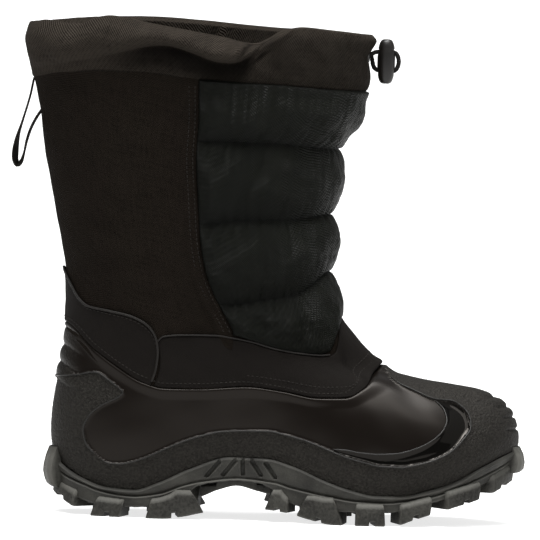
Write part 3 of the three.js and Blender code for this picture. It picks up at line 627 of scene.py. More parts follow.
def threads(paint, pitch, twill=False):
    """Height of a weave from the piece's own lengths; pitch is the thread spacing in mm."""
    pace = 2 * math.pi / (pitch * MM)
    split = paint.node("ShaderNodeSeparateXYZ", {0: paint.uv()})
    u = paint.math("MULTIPLY", split.outputs[0], pace)
    v = paint.math("MULTIPLY", split.outputs[1], pace)
    if twill:
        slant = paint.math("SINE", paint.math("ADD", u, v))
        cross = paint.math("SINE", paint.math("MULTIPLY", paint.math("SUBTRACT", u, v), 0.5))
        return paint.math("MULTIPLY_ADD", cross, 0.35, slant)
    return paint.math("MULTIPLY", paint.math("SINE", u), paint.math("SINE", v))


def fabric(name, dark, light, pitch, depth, twill=False, roughness=0.9, specular=0.12, streak=0.5,
           sheen=0.0, paints_shade=False, check=0.16):
    """A weave: pitch and depth in mm, streak and check how much yarns and crossings differ in colour."""
    sockets = {"Specular IOR Level": specular}
    if sheen:
        sockets |= {"Sheen Weight": sheen, "Sheen Roughness": 0.45}
    paint = Paint(name, dark, roughness, sockets)
    uv = paint.uv()
    weave = threads(paint, pitch, twill)
    mottle = paint.noise(uv, 55, 3)
    fleck = paint.noise(uv, 620 / pitch, 2, 0.7)
    upright = paint.noise(paint.scaled(uv, (1, 0.08, 1)), 900 / pitch, 2)
    level = paint.noise(paint.scaled(uv, (0.08, 1, 1)), 900 / pitch, 2)
    yarn = paint.math("ADD", upright, level)
    share = paint.math("MULTIPLY_ADD", weave, check, paint.math("MULTIPLY", yarn, streak))
    share = paint.math("ADD", share, paint.math("MULTIPLY", fleck, 0.55))
    share = paint.math("MULTIPLY_ADD", mottle, 0.35, paint.math("SUBTRACT", share, 0.28))
    color = paint.blend(paint.between(share, 0.15, 1.05), dark, light)
    # Painted shade: a field darkens the colour towards a quarter of the dark tone where shade would fall,
    # in the quilt's channels, under the collar's roll and in troughs.
    if paints_shade:
        deep = tuple(c * 0.25 for c in dark)
        color = paint.blend(paint.math("MULTIPLY", paint.field("painted_shade"), 0.85), color, deep)
    paint.set("Base Color", color)
    fine = paint.bump(fleck, 0.25, 0.5)
    paint.set("Normal", paint.bump(weave, depth, 0.8, fine))
    return paint.material


def rubber_sole(name, pace, depth, contrast):
    """Grained grey rubber, paler where the field edge is high: partly wear, partly a painted highlight on
    edges that face the light.
    """
    paint = Paint(name, (0.03, 0.031, 0.027), 0.6, {"Specular IOR Level": 0.15})
    spot = paint.spot()
    cloud = paint.noise(spot, 60, 4)
    grain = paint.noise(spot, pace, 3, 0.65)
    worn_and_lit = paint.math("ADD", paint.field("edge"), paint.math("MULTIPLY", cloud, 0.2))
    share = paint.math("MULTIPLY_ADD", paint.math("SUBTRACT", grain, 0.5), contrast, cloud)
    body = paint.blend(paint.between(share, 0.25, 0.75), (0.009, 0.0085, 0.0072), (0.034, 0.033, 0.0285))
    # Paler edges: partly wear, partly painted highlight.
    paint.set("Base Color", paint.blend(paint.between(worn_and_lit, 0.3, 1.3), body, (0.085, 0.083, 0.074)))
    paint.set("Roughness", paint.number(cloud, 0.5, 0.68))
    coarse = paint.bump(cloud, 0.8, 0.3)
    paint.set("Normal", paint.bump(grain, depth, 0.8, coarse))
    return paint.material


def rubber_shell():
    """Black rubber, grained where it is matte, by the fields gloss, patent and edge."""
    sockets = {"Specular IOR Level": 0.24, "Specular Tint": (1, 0.92, 0.84, 1)}
    paint = Paint("shell_rubber", (0.004, 0.004, 0.0035), 0.4, sockets)
    spot = paint.spot()
    gloss, patent, edge = paint.field("gloss"), paint.field("patent"), paint.field("edge")
    cloud = paint.noise(spot, 45, 3)
    grain = paint.noise(spot, 780, 2, 0.6)
    pits = paint.cells(spot, 620)
    paint.set("Specular IOR Level", paint.number(gloss, 0.2, 0.14))
    rough = paint.math("MULTIPLY_ADD", gloss, -0.36, paint.number(cloud, 0.62, 0.72))
    paint.set("Roughness", paint.math("MULTIPLY_ADD", patent, -0.24, rough))
    speckle = paint.between(grain, 0.38, 0.68)
    matt = paint.blend(speckle, (0.0004, 0.0004, 0.0003), (0.0098, 0.0094, 0.0078))
    body = paint.blend(gloss, matt, (0.0028, 0.0019, 0.0014))
    body = paint.blend(patent, body, (0.0008, 0.0008, 0.0007))
    # Painted highlight, partly wear: the edge field pales the colour along the bevel lines and the
    # galosh's top edge.
    paint.set("Base Color", paint.blend(paint.between(edge, 0.2, 1.0), body, (0.016, 0.0155, 0.0135)))
    rugged = paint.math("SUBTRACT", 1.0, paint.math("MAXIMUM", gloss, patent))
    height = paint.math("MULTIPLY", paint.math("ADD", grain, paint.math("MULTIPLY", pits, 0.5)), rugged)
    paint.set("Normal", paint.bump(height, 0.9, 0.9))
    return paint.material


def plain(name, color, roughness, specular=0.5, grain=0.1, tint=0.3, metallic=0.0, glow=0.0):
    """A smooth material with a cloudy colour and a fine grain."""
    sockets = {"Specular IOR Level": specular, "Metallic": metallic}
    if glow:
        sockets |= {"Emission Color": (1, 1, 1, 1), "Emission Strength": glow}
    paint = Paint(name, color, roughness, sockets)
    spot = paint.spot()
    cloud = paint.noise(spot, 90, 3)
    fine = paint.noise(spot, 1600, 2)
    lighter = tuple(c * (1 + tint) for c in color)
    darker = tuple(c * (1 - tint) for c in color)
    paint.set("Base Color", paint.blend(paint.between(cloud, 0.3, 0.7), darker, lighter))
    paint.set("Roughness", paint.number(fine, roughness - 0.06, roughness + 0.06))
    paint.set("Normal", paint.bump(fine, grain, 0.5))
    return paint.material


WOVEN = fabric("woven", (0.0005, 0.0003, 0.0002), (0.0094, 0.0072, 0.0054), 1.3, 0.45, specular=0.03,
               streak=0.8, check=0.22)
NYLON = fabric("nylon", (0.0004, 0.0006, 0.0002), (0.0044, 0.0050, 0.0027), 1.7, 0.28, twill=True,
               roughness=0.5, specular=0.09, streak=0.35, paints_shade=True, check=0.2)
TWILL = fabric("twill", (0.0010, 0.0006, 0.0004), (0.0315, 0.0263, 0.0211), 1.7, 0.6, twill=True,
               specular=0.03, streak=0.7, paints_shade=True, check=0.34)
SMOOTH_CLOTH = fabric("smooth_cloth", (0.003, 0.0023, 0.0018), (0.0072, 0.0056, 0.0045), 0.7, 0.1,
                      roughness=0.75, specular=0.07, streak=0.3)
FLEECE = fabric("fleece", (0.009, 0.0085, 0.008), (0.04, 0.038, 0.035), 2.4, 0.5, roughness=1.0,
                specular=0.05, sheen=0.15)
TAPE = fabric("tape", (0.003, 0.0027, 0.0024), (0.015, 0.013, 0.011), 1.2, 0.25, specular=0.06)
PIPING = plain("piping", (0.0088, 0.0077, 0.0067), 0.5, 0.12)
THREAD = plain("thread", (0.011, 0.0095, 0.008), 0.6, 0.1, grain=0.2)
# The beads are paler than the galosh rubber: a painted highlight along the raised lines.
BEAD = plain("bead", (0.0085, 0.008, 0.007), 0.38, 0.25, grain=0.05)
SOLE = rubber_sole("sole_rubber", 1300, 0.16, 0.5)
LUG = rubber_sole("lug_rubber", 640, 0.5, 1.0)
SHELL = rubber_shell()
STOPPER_PLASTIC = plain("stopper_plastic", (0.005, 0.0042, 0.0036), 0.36, 0.3, grain=0.05)
EYELET_METAL = plain("eyelet_metal", (0.04, 0.039, 0.037), 0.35, 0.5, grain=0.03, metallic=0.8)
CORD_FABRIC = plain("cord_fabric", (0.006, 0.0055, 0.005), 0.75, 0.1, grain=0.3)
FLOOR = plain("floor", (0.5, 0.5, 0.5), 0.85, 0.05, tint=0.004, grain=0.02, glow=0.75)

# ---------------------------------------------------------------- drawcord and its stopper

CORD_DIAMETER = 2.8
CORD_SIDES, BRAID_DEPTH = 14, 0.06
CORD_CORE = CORD_DIAMETER / 2 - 0.08    # the radius that the braid's strands rise and fall about
LOOP_REACH = 3.6               # how far the cord's loop runs past the stopper
STOPPER_X, STOPPER_Z, STOPPER_LENGTH = 65.0, 278.0, 27.0
STOPPER_WIDTH, STOPPER_DEPTH, HOLE_SPACING, HOLE_RADIUS = 10.8, 11.0, 11.5, 2.1
STOPPER_PARTING, STOPPER_PINCH = 0.52, 0.05     # the line between button and body: where, how deep
EYELET_OUTER, EYELET_HOLE, EYELET_THICKNESS, EYELET_Z = 11.0, 7.0, 2.2, 282.0
EYELET_X = (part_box("eyelet")[0][0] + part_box("eyelet")[1][0]) / 2 / MM


CATMULL_SPANS = (((0, 1), (1, 2), (2, 3)), ((0, 2), (1, 3)), ((1, 2),))    # knots, round by round


def catmull(points, steps):
    """A centripetal Catmull-Rom line through points."""
    points = np.asarray(points, float)
    points = np.vstack([2 * points[0] - points[1], points, 2 * points[-1] - points[-2]])
    result = []
    for corners in zip(points, points[1:], points[2:], points[3:]):
        gaps = [math.sqrt(np.linalg.norm(b - a)) for a, b in zip(corners, corners[1:])]
        knots = np.concatenate([[0], np.cumsum(gaps)])
        for t in np.linspace(knots[1], knots[2], steps, endpoint=False):
            values = corners
            for spans in CATMULL_SPANS:
                values = [mix(a, b, (t - knots[i]) / (knots[j] - knots[i]))
                          for a, b, (i, j) in zip(values, values[1:], spans)]
            result.append(values[0])
    result.append(points[-2])
    return np.array(result)


def cord_route():
    """Out through the eyelet and the stopper's high hole, round in front, and back by the low hole."""
    reach = HOLE_SPACING / 2
    high, low = STOPPER_Z + reach, STOPPER_Z - reach
    front, back = STOPPER_X + STOPPER_WIDTH / 2 - 1.4, STOPPER_X - STOPPER_WIDTH / 2
    aside = (CORD_DIAMETER + 0.3) / 2
    points = [
        [EYELET_X - 1.4, -aside, EYELET_Z], [EYELET_X + 1.4, -aside, EYELET_Z],
        [back - 1.2, -0.4, high - 0.3], [back + 2, 0, high], [front, 0, high],
    ]
    for angle in (60, 30, 0, -30, -60):
        turn = math.radians(angle)
        points.append([front + LOOP_REACH * math.cos(turn), 0, STOPPER_Z + reach * math.sin(turn)])
    points += [
        [front, 0, low], [back + 2, 0, low], [back - 1.6, 0.5, low + 1.7],
        [EYELET_X + 1.4, aside, EYELET_Z], [EYELET_X - 1.4, aside, EYELET_Z],
    ]
    return points


def make_cord():
    path = even(catmull(cord_route(), 8), 110)
    turn = np.linspace(0, 2 * math.pi, CORD_SIDES, endpoint=False)
    sections = []
    for k in range(len(path)):
        braid = BRAID_DEPTH * (np.cos(4 * turn + k * 1.3) + np.cos(4 * turn - k * 1.3))
        sections.append(circle(1, CORD_SIDES) * (CORD_CORE + braid)[:, None])
    cord = make("drawcord_loop", *sweep(path, sections), CORD_FABRIC, "cord", node="drawcord")
    stopper = make_stopper()


def make_stopper():
    rows, columns = 56, 64
    latitude = np.linspace(-math.pi / 2, math.pi / 2, rows + 2)[1:-1]
    height = np.sin(latitude)
    girth = np.cos(latitude) ** 0.5
    share = np.sign(height) * np.abs(height) ** 0.9
    girth *= 1 - STOPPER_PINCH * bell(share - STOPPER_PARTING, 0.035)
    plan = girth[:, None, None] * circle(1, columns) * (STOPPER_WIDTH / 2, STOPPER_DEPTH / 2)
    rings = np.dstack([plan, np.broadcast_to(share[:, None] * STOPPER_LENGTH / 2, (rows, columns))])
    stopper = make("stopper_body", *cap_rings(rings + (STOPPER_X, 0, STOPPER_Z)), STOPPER_PLASTIC,
                   "stopper_plastic", node="cord_stopper", sharp=40)
    for name, z in (("hole_high", HOLE_SPACING / 2), ("hole_low", -HOLE_SPACING / 2)):
        bpy.ops.mesh.primitive_cylinder_add(
            vertices=28, radius=HOLE_RADIUS * MM, depth=STOPPER_WIDTH * 2 * MM,
            location=(STOPPER_X * MM, 0, (STOPPER_Z + z) * MM), rotation=(0, math.pi / 2, 0))
        tool = bpy.context.object
        tool.name = name
        cut = stopper.modifiers.new(name, "BOOLEAN")
        cut.operation, cut.object, cut.solver = "DIFFERENCE", tool, "EXACT"
        bpy.context.view_layer.objects.active = stopper
        bpy.ops.object.modifier_apply(modifier=name)
        bpy.data.objects.remove(tool)
    return stopper


def make_eyelet():
    inner, outer, half = EYELET_HOLE / 2, EYELET_OUTER / 2, EYELET_THICKNESS / 2
    profile = np.array([
        [inner, -half], [outer - 0.8, -half], [outer - 0.2, -half * 0.4], [outer, 0],
        [outer - 0.25, half * 0.55], [outer - 0.9, half * 0.92], [outer - 1.3, half],
        [inner + 0.8, half * 0.95], [inner + 0.25, half * 0.6], [inner, half * 0.2],
    ])
    rings = []
    for radius, x in profile:
        rings.append(np.insert(circle(radius, 64), 0, x, axis=1) + (EYELET_X, 0, EYELET_Z))
    rings = np.array(rings)
    tube_piece("eyelet_ring", rings[1:6], rings[[0, 9, 8, 7, 6]], EYELET_METAL, "eyelet_metal",
               node="eyelet", sharp=50)


make_cord()
make_eyelet()

# ---------------------------------------------------------------- woven shaft, lining and insole

seam_points = smooth_line(SIDE_SEAM)
seam_x = drawn(SIDE_SEAM["z"], SIDE_SEAM["x"])
SHAFT_LEVEL = 190              # the ring that spaces the columns of the shaft and lining
SHAFT_COLUMNS, SHAFT_ROWS, BACKING_ROWS = 400, 130, 44
LINING_COLUMNS, LINING_ROWS = 260, 120
BACK_FULLNESS = 1.9            # how far the cloth stands off the last at the very back
SHAFT_BACKING, UNDER_QUILT = -1.4, -0.5     # where the shaft's inside and its hidden front lie
HEM_WIDTH = 9.5
LINING_INSIDE, LINING_OUTSIDE = (-5.3, -3.5), (-3.1, -1.5)     # in the foot and in the shaft
INSOLE_INSET, INSOLE_FOOT, INSOLE_SIDE, INSOLE_TOP = 6.1, 0.2, 3.4, 4.0
INSOLE_COLUMNS, INSOLE_ROWS = 200, 50
UP = np.array([0, 0, 1.0])


def back_share(around):
    """1 at the very back, 0 from a third of the way round."""
    turn = np.abs(np.mod(around + 1, 2) - 1)
    return 1 - ease(turn / 0.3)


SHAFT_CREASES = table("x0 z0 x1 z1 width height", [
    [-119, 176, -92, 170, 5, -0.7], [-116, 160, -84, 156, 6, 0.6], [-108, 148, -70, 152, 5, -0.6],
    [-126, 206, -98, 200, 7, -0.5], [-60, 132, -44, 150, 5, 0.6], [-72, 126, -52, 140, 4, -0.5],
    [-100, 232, -60, 226, 9, 0.5], [-92, 255, -60, 246, 8, -0.5], [-132, 250, -110, 236, 7, 0.5],
])


def woven_shaft():
    turns = even_turns(SHAFT_LEVEL, SHAFT_COLUMNS)
    low, high = level_on(shell_top, turns) - 5, level_on(collar_seam, turns) + 2
    level = mix(low, high, shares(SHAFT_ROWS))
    x, y, z = last_xyz(turns, level)
    gap, _ = distance_to(x, z, seam_points)
    out = 0.9 * ease((HEM_WIDTH - gap) / 2) * ease(gap / 0.7) * ease((high - 1.5 - level) / 3)
    out += ease(np.abs(y) / 25) * creases(x, z, SHAFT_CREASES) + 0.28 * waves(x + y, z, 26, 3)
    out += BACK_FULLNESS * back_share(turns)
    out = np.where(x < seam_x(z), np.maximum(out, -0.8), UNDER_QUILT)
    inside = offset(turns, mix(low, high, shares(BACKING_ROWS)), SHAFT_BACKING)
    tube_piece("woven_shaft", offset(turns, level, out), inside, WOVEN, "woven_fabric", node="upper")


def lining_out(level, depths):
    return mix(*depths, ease((level - 70) / 80))


def fleece_lining():
    turns = even_turns(SHAFT_LEVEL, LINING_COLUMNS)
    high = level_on(collar_seam, turns) + 1
    level, outer_level = (mix(LOW, high, shares(rows)) for rows in (LINING_ROWS, LINING_ROWS // 2))
    x, y, z = last_xyz(turns, level)
    pile = 0.35 * waves(x + y * 0.7, z, 5, 11, 16)
    inside = offset(turns, level, lining_out(level, LINING_INSIDE) + pile)
    outside = offset(turns, outer_level, lining_out(outer_level, LINING_OUTSIDE))
    tube_piece("fleece_lining", outside, inside, FLEECE, "woven_fabric")


def ladder(ring_points, across):
    """A grid of points over a closed ring, from its outer side to its inner side."""
    half = len(ring_points) // 2
    outer = ring_points[:half + 1]
    inner = np.vstack([ring_points[:1], ring_points[:half - 1:-1]])
    return mix(outer, inner, shares(across)[..., None])


def insole():
    turns = even_turns(LOW, INSOLE_COLUMNS)
    edge = last_point(turns, LOW) - unit(last_normal(turns, LOW) * PLAN) * INSOLE_INSET
    bottom = edge + INSOLE_FOOT * UP
    top, under = ladder(edge + INSOLE_TOP * UP, INSOLE_ROWS), ladder(bottom, INSOLE_ROWS)
    top[..., 2] -= 0.9 * (1 - (2 * shares(INSOLE_ROWS) - 1) ** 4)
    top[..., 2] += 0.12 * waves(top[..., 0], top[..., 1], 4, 5)
    side = np.stack([bottom, edge + INSOLE_SIDE * UP])
    points, quads = join_bodies([grid_body(top), grid_body(side, wrap=True), grid_body(under, flip=True)])
    flat = np.vstack([top[..., :2].reshape(-1, 2), side[..., ::2].reshape(-1, 2),
                      under[..., :2].reshape(-1, 2)])
    make("insole_felt", points, quads, FLEECE, "insole_felt", node="insole", uv=flat[quads.ravel()])


# ---------------------------------------------------------------- instep panel and heel patch

INSTEP_TOP = table("x z", [
    [-67.6, 106], [-64, 109.6], [-53.5, 110.9], [-32.8, 111.3], [-22.4, 110.1], [-12, 108.3], [3.6, 104],
    [18.2, 101.4], [30.6, 100.3], [36.2, 100.8], [39.6, 103.6], [41.0, 110], [41.4, 116.6],
    [42.6, 123.5],
])
HEEL_TOP = table("x z", [
    [-123.5, 149.5], [-122.0, 146], [-118.5, 138.6], [-114, 130.5], [-108.8, 126], [-96.3, 123.8],
    [-84.9, 121.6], [-76.5, 118.2], [-71.2, 113.7], [-67.8, 107.1], [-66.8, 99.9], [-67.8, 89.5],
    [-70.2, 82.2],
])
OVERLAY = 0.9                  # how far the overlays stand proud of the woven shaft
HEEL_OVERLAY = OVERLAY + 0.35
SKIRT = -0.4                   # how deep their turned-in edges lie
INSTEP_LOW_X, HEEL_LOW_X = (-69.6, 69.5), (-122.4, -70.4)
PIPED_SHARE = 0.82             # how much of the instep panel's top line carries piping
INSTEP_PIPING, HEEL_PIPING = 0.52, 0.75     # radii
OVERLAY_ROWS = 46


def overlay_shape(top_rows, low_x, count):
    """(around, level) along an overlay's top line and along the shell's edge below it."""
    top = smooth_line(top_rows, count)
    top_around, top_level = place(top[:, 0], top[:, 1])
    x = np.linspace(*low_x, count)
    low_around, low_level = place(x, shell_top(x))
    return top_around, top_level, low_around, low_level - 0.4


def overlay_piece(name, around, level, proud):
    """A panel on the woven shaft, with its four edges turned in under it."""
    share = shares(len(around))
    out = np.broadcast_to(proud, around.shape).copy()
    out *= 0.55 + 0.45 * ease(np.minimum(share, 1 - share) * len(around) / 2.5)
    out[0] = out[-1] = SKIRT
    around, level = around.copy(), level.copy()
    around[0], level[0] = around[1], level[1] + 0.3
    around[-1], level[-1] = around[-2], level[-2] - 0.3
    out[:, 0] = out[:, -1] = SKIRT
    x, y, z = last_xyz(around, level)
    out += 0.12 * waves(x + y, z, 14, 21) * (out > 0)
    out += BACK_FULLNESS * back_share(around)
    sheet_piece(name, offset(around, level, out), SMOOTH_CLOTH, "woven_fabric")


def instep_shape():
    shape = overlay_shape(INSTEP_TOP, INSTEP_LOW_X, 150)
    shape[0][-1] = shape[2][-1] = 1.0
    return shape


def heel_shape():
    shape = overlay_shape(HEEL_TOP, HEEL_LOW_X, 130)
    shape[0][0] = shape[2][0] = 0.0
    return shape


def overlays():
    share = shares(OVERLAY_ROWS)
    top_a, top_l, low_a, low_l = instep_shape()
    around, level = mix(low_a, top_a, share), mix(low_l, top_l, share)
    around = np.hstack([around, 2 - around[:, -2::-1]])
    level = np.hstack([level, level[:, -2::-1]])
    front = 1 - np.abs(around - 1)
    lip = ease((front - 0.72) / 0.2) * ease((0.2 - share) / 0.2)
    overlay_piece("instep_panel", around, level, OVERLAY + 1.5 * lip)
    top_a, top_l, low_a, low_l = heel_shape()
    around, level = mix(low_a, top_a, share), mix(low_l, top_l, share)
    around = np.hstack([-around[:, ::-1], around[:, 1:]])
    level = np.hstack([level[:, ::-1], level[:, 1:]])
    overlay_piece("heel_patch", around, level, HEEL_OVERLAY)


def both_sides(around):
    """Places on the outer side, and the same ones on the inner side."""
    return [around, 2 - around]


def cord_along(around, level, out, count, radius):
    """A thin round cord along a line on the last."""
    path = even(offset(around, level, out), count)
    return sweep(path, [circle(radius, 8)] * count)


def piping():
    top_a, top_l, _, _ = instep_shape()
    shown = int(len(top_a) * PIPED_SHARE)
    bodies = []
    for turn in both_sides(top_a[:shown]):
        bodies.append(cord_along(turn, top_l[:shown], OVERLAY + 0.1, 240, INSTEP_PIPING))
    top_a, top_l, _, _ = heel_shape()
    around = np.concatenate([-top_a[::-1], top_a[1:]])
    level = np.concatenate([top_l[::-1], top_l[1:]])
    out = OVERLAY + 0.4 + BACK_FULLNESS * back_share(around)
    bodies.append(cord_along(around, level, out, 420, HEEL_PIPING))
    make("piping", *join_bodies(bodies), PIPING, "woven_fabric")


# ---------------------------------------------------------------- stitches

STITCH_PITCH = 2.7
STITCH_LENGTH = 1.9
STITCH_RADIUS = 0.36
STITCH_PROFILE = ((-0.5, 0.35), (-0.38, 0.85), (0, 1.0), (0.38, 0.85), (0.5, 0.35))   # (place, girth)
STITCH_SINK = 0.3              # how far a stitch's ends dip into the cloth
SIDE_SEAM_ROWS = (2.0, 5.6)    # how far behind the side seam its two rows run
LOW_ROW_RISE, HEEL_ROW_RISE = 3.2, 3.4      # how far over the galosh the lowest rows run
UPPER_ROW, HEEL_UPPER_ROW = 0.12, 0.93      # shares of the panels' heights


def stitches_on(around, level, out):
    """The stitches along a line on the last."""
    path = offset(around, level, out + BACK_FULLNESS * back_share(around))
    normals = last_normal(around, level)
    run = run_along(path)
    bodies = []
    for k in range(int(run[-1] / STITCH_PITCH)):
        middle = (k + 0.5) * STITCH_PITCH
        spot = sample(path, run, middle)
        normal = unit(sample(normals, run, middle))
        along = unit(sample(path, run, middle + 0.4) - spot)
        section = circle(STITCH_RADIUS, 6) @ np.stack([normal, np.cross(normal, along)])
        rings = []
        for share, girth in STITCH_PROFILE:
            center = spot + along * share * STITCH_LENGTH - normal * STITCH_SINK * (2 * share) ** 2
            rings.append(center + section * girth)
        bodies.append(cap_rings(rings))
    return bodies


def seam_stitches():
    bodies = []
    z = np.linspace(113, 263, 120)
    for behind in SIDE_SEAM_ROWS:
        around, level = place(seam_x(z) - behind, z)
        for turn in both_sides(around):
            bodies += stitches_on(turn, level, 1.0)
    top_a, top_l, low_a, low_l = instep_shape()
    for turn in both_sides(low_a):
        bodies += stitches_on(turn, low_l + LOW_ROW_RISE, OVERLAY + 0.05)
    level = mix(low_l, top_l, UPPER_ROW) + LOW_ROW_RISE
    for turn in both_sides(mix(low_a, top_a, UPPER_ROW)):
        bodies += stitches_on(turn[60:], level[60:], OVERLAY + 0.05)
    top_a, top_l, low_a, low_l = heel_shape()
    for turn in (low_a, -low_a):
        bodies += stitches_on(turn, low_l + HEEL_ROW_RISE, OVERLAY + 0.4)
    around, level = (mix(low, top, HEEL_UPPER_ROW)[6:-8] for low, top in ((low_a, top_a), (low_l, top_l)))
    for turn in (around, -around):
        bodies += stitches_on(turn, level, OVERLAY + 0.4)
    make("stitches", *join_bodies(bodies), THREAD, "woven_fabric")


# ---------------------------------------------------------------- quilted front

QUILT_LINES = [line(rows) for rows in
               (QUILT_FOOT, QUILT_SEAM_LOW, QUILT_SEAM_MID, QUILT_SEAM_HIGH, COLLAR_SEAM)]
QUILT_EDGE = 1.2               # how far the cloth stands off the last between the puffs
TOP_PUFF, PUFF_ROWS, QUILT_COLUMNS = 3, 48, 320
PUFF_HEIGHT = 40.0             # about how tall a puff is
PUFF_FRONT = (4.6, 7.2, 7.4, 4.8)      # how far each puff stands out at the shin, from the instep up
PUFF_SIDE = (3.4, 6.0, 6.2, 5.6)       # and at the side
QUILT_STROKES = table("x0 z0 x1 z1 width height", [
    [-38.6, 197, -22.5, 219, 3.6, 1.3], [-8.2, 223, -17.5, 193, 3.4, -1.2],
    [-11.6, 196, 5.8, 218, 4.2, 1.2], [14, 221, 8, 194, 3.2, -0.9], [20, 200, 29, 219, 3.6, 0.9],
    [-25.3, 156, -6.5, 169.5, 3.4, 1.2], [-33, 172, -28, 158, 2.6, -0.9], [-3, 172, 4, 150, 3.4, -0.9],
    [6, 148, 17, 172, 4.0, 0.9], [24, 160, 17, 178, 2.8, -0.8], [5.3, 251, 31.9, 245, 3.8, 1.3],
    [-7.4, 255, -18.8, 236, 3.6, 1.0], [-37.6, 258, -28, 240, 3.4, 1.1], [-26, 252, -36, 234, 2.8, -0.9],
    [-2, 254, 3, 235, 3.2, -0.9], [18, 240, 34, 236, 3.0, -1.0], [8, 128, 12, 106, 3.2, 0.8],
    [17, 130, 20, 104, 2.6, -0.8], [26, 136, 27, 106, 3.0, 0.8], [-6, 127, -2, 110, 3.0, -0.6],
    [33, 140, 36, 112, 2.4, -0.6], [-14, 126, -12, 112, 3.2, 0.5],
])


def quilt_puckers(arc, rise, drop, seam):
    """Gathers that run away from one seam: arc is the length across, rise and drop the distances."""
    draw = np.random.default_rng(40 + seam)
    total = np.zeros(arc.shape)
    spot = 2.0
    while spot < arc.max():
        for reach, away in ((draw.uniform(4.5, 11), rise), (draw.uniform(3.5, 8), drop)):
            lean, width, depth = draw.uniform(-0.35, 0.35), draw.uniform(1.1, 2.0), draw.uniform(0.7, 1.7)
            near = np.where(away >= 0, np.exp(-away / reach), 0)
            total -= depth * near * bell(arc - spot - lean * away, width)
        spot += draw.uniform(4.2, 9.5)
    return total


def puff_level(puff, around, share):
    """The levels of one puff's rows, between the seams below and above it."""
    low = level_on(QUILT_LINES[puff], around) + (0.6 if puff == 0 else 0)
    high = level_on(QUILT_LINES[puff + 1], around) + (0.4 if puff == TOP_PUFF else 0)
    return mix(low, high, share)


def puff_grid(puff):
    """(around, level, share, puff) of one puff's rows, from side seam to side seam."""
    share = np.linspace(0, 1, PUFF_ROWS, endpoint=puff == TOP_PUFF)

    def is_past(around):
        point = last_point(around, puff_level(puff, around, share))
        return point[:, 0] > seam_x(point[:, 2])

    start = bisect(is_past, 0.25, 0.9, 20)[:, None]
    around = mix(start, 2 - start, np.linspace(0, 1, QUILT_COLUMNS))
    share = share[:, None]
    return around, puff_level(puff, around, share), share, np.full(share.shape, puff)


def quilt_height(share, puff, front, edge):
    """(height, roundness) of the puffs before they crumple."""
    fullness = ease((front - 0.62) / 0.3)
    height = mix(np.array(PUFF_SIDE)[puff], np.array(PUFF_FRONT)[puff], fullness)
    top = puff == TOP_PUFF
    dome = np.sin(math.pi * np.where(top, share ** 0.8, share ** 1.08)) ** mix(0.85, 0.56, fullness)
    top_fade = np.where(top, mix(1, 0.8, ease((share - 0.75) / 0.25)), 1)
    top_lift = np.where(top, 1.9 * ease((share - 0.8) / 0.2), 0)
    return height * dome * top_fade * edge + top_lift * edge, dome


def quilt_painted_shade(share, puff, from_edge, front):
    """Painted shade from 0 to 1, by how deep in a channel or at an edge the cloth lies."""
    rise, drop = share * PUFF_HEIGHT, (1 - share) * PUFF_HEIGHT
    under = np.where(puff > 0, 0.75 * np.exp(-rise / 8), 0.4 * np.exp(-rise / 3))
    painted_shade = np.maximum(under, 0.45 * bell(drop, 2.5))
    painted_shade = np.maximum(painted_shade, 0.5 * bell(from_edge, 1.6))
    return painted_shade * mix(1, 0.55, ease((front - 0.75) / 0.2))


def quilted_front():
    around, level, share, puff = map(np.concatenate, zip(*map(puff_grid, range(TOP_PUFF + 1))))
    flat = last_point(around, level)
    x, y, z = np.moveaxis(flat, -1, 0)
    steps = np.linalg.norm(np.diff(flat, axis=1), axis=2)
    arc = np.hstack([np.zeros((len(flat), 1)), np.cumsum(steps, axis=1)])
    arc -= arc[:, QUILT_COLUMNS // 2][:, None]
    from_edge = np.minimum(arc - arc[:, :1], arc[:, -1:] - arc)
    front = 1 - np.abs(around - 1)
    edge = np.clip(from_edge / 7.0, 0, 1) ** 0.5
    out, dome = quilt_height(share, puff, front, edge)
    for seam in range(len(QUILT_LINES)):
        rise = np.where(puff == seam, share * PUFF_HEIGHT, -1)
        drop = np.where(puff == seam - 1, (1 - share) * PUFF_HEIGHT, -1)
        strength = 0.3 if seam in (0, TOP_PUFF + 1) else 0.7
        out += strength * quilt_puckers(arc - arc.min(), rise, drop, seam) * edge
    out += creases(x, z, QUILT_STROKES) * ease(np.abs(y) / 18) * edge
    out += 0.75 * waves(arc + 0.4 * z, 1.3 * z, 24, 31) * edge * dome + 0.14 * waves(arc, z, 7, 33) * edge
    out = np.maximum(out, -0.5) + QUILT_EDGE
    out[:, [0, -1]] = 0.2
    out[[0, -1]] = 0.1
    # The field carries the painted shade of the channels and edges to the nylon's colour.
    quilt = sheet_piece("quilted_front", offset(around, level, out), NYLON, "quilt_nylon",
                        node="quilted_panel", fields={"painted_shade": quilt_painted_shade(share, puff, from_edge, front)})


# ---------------------------------------------------------------- collar

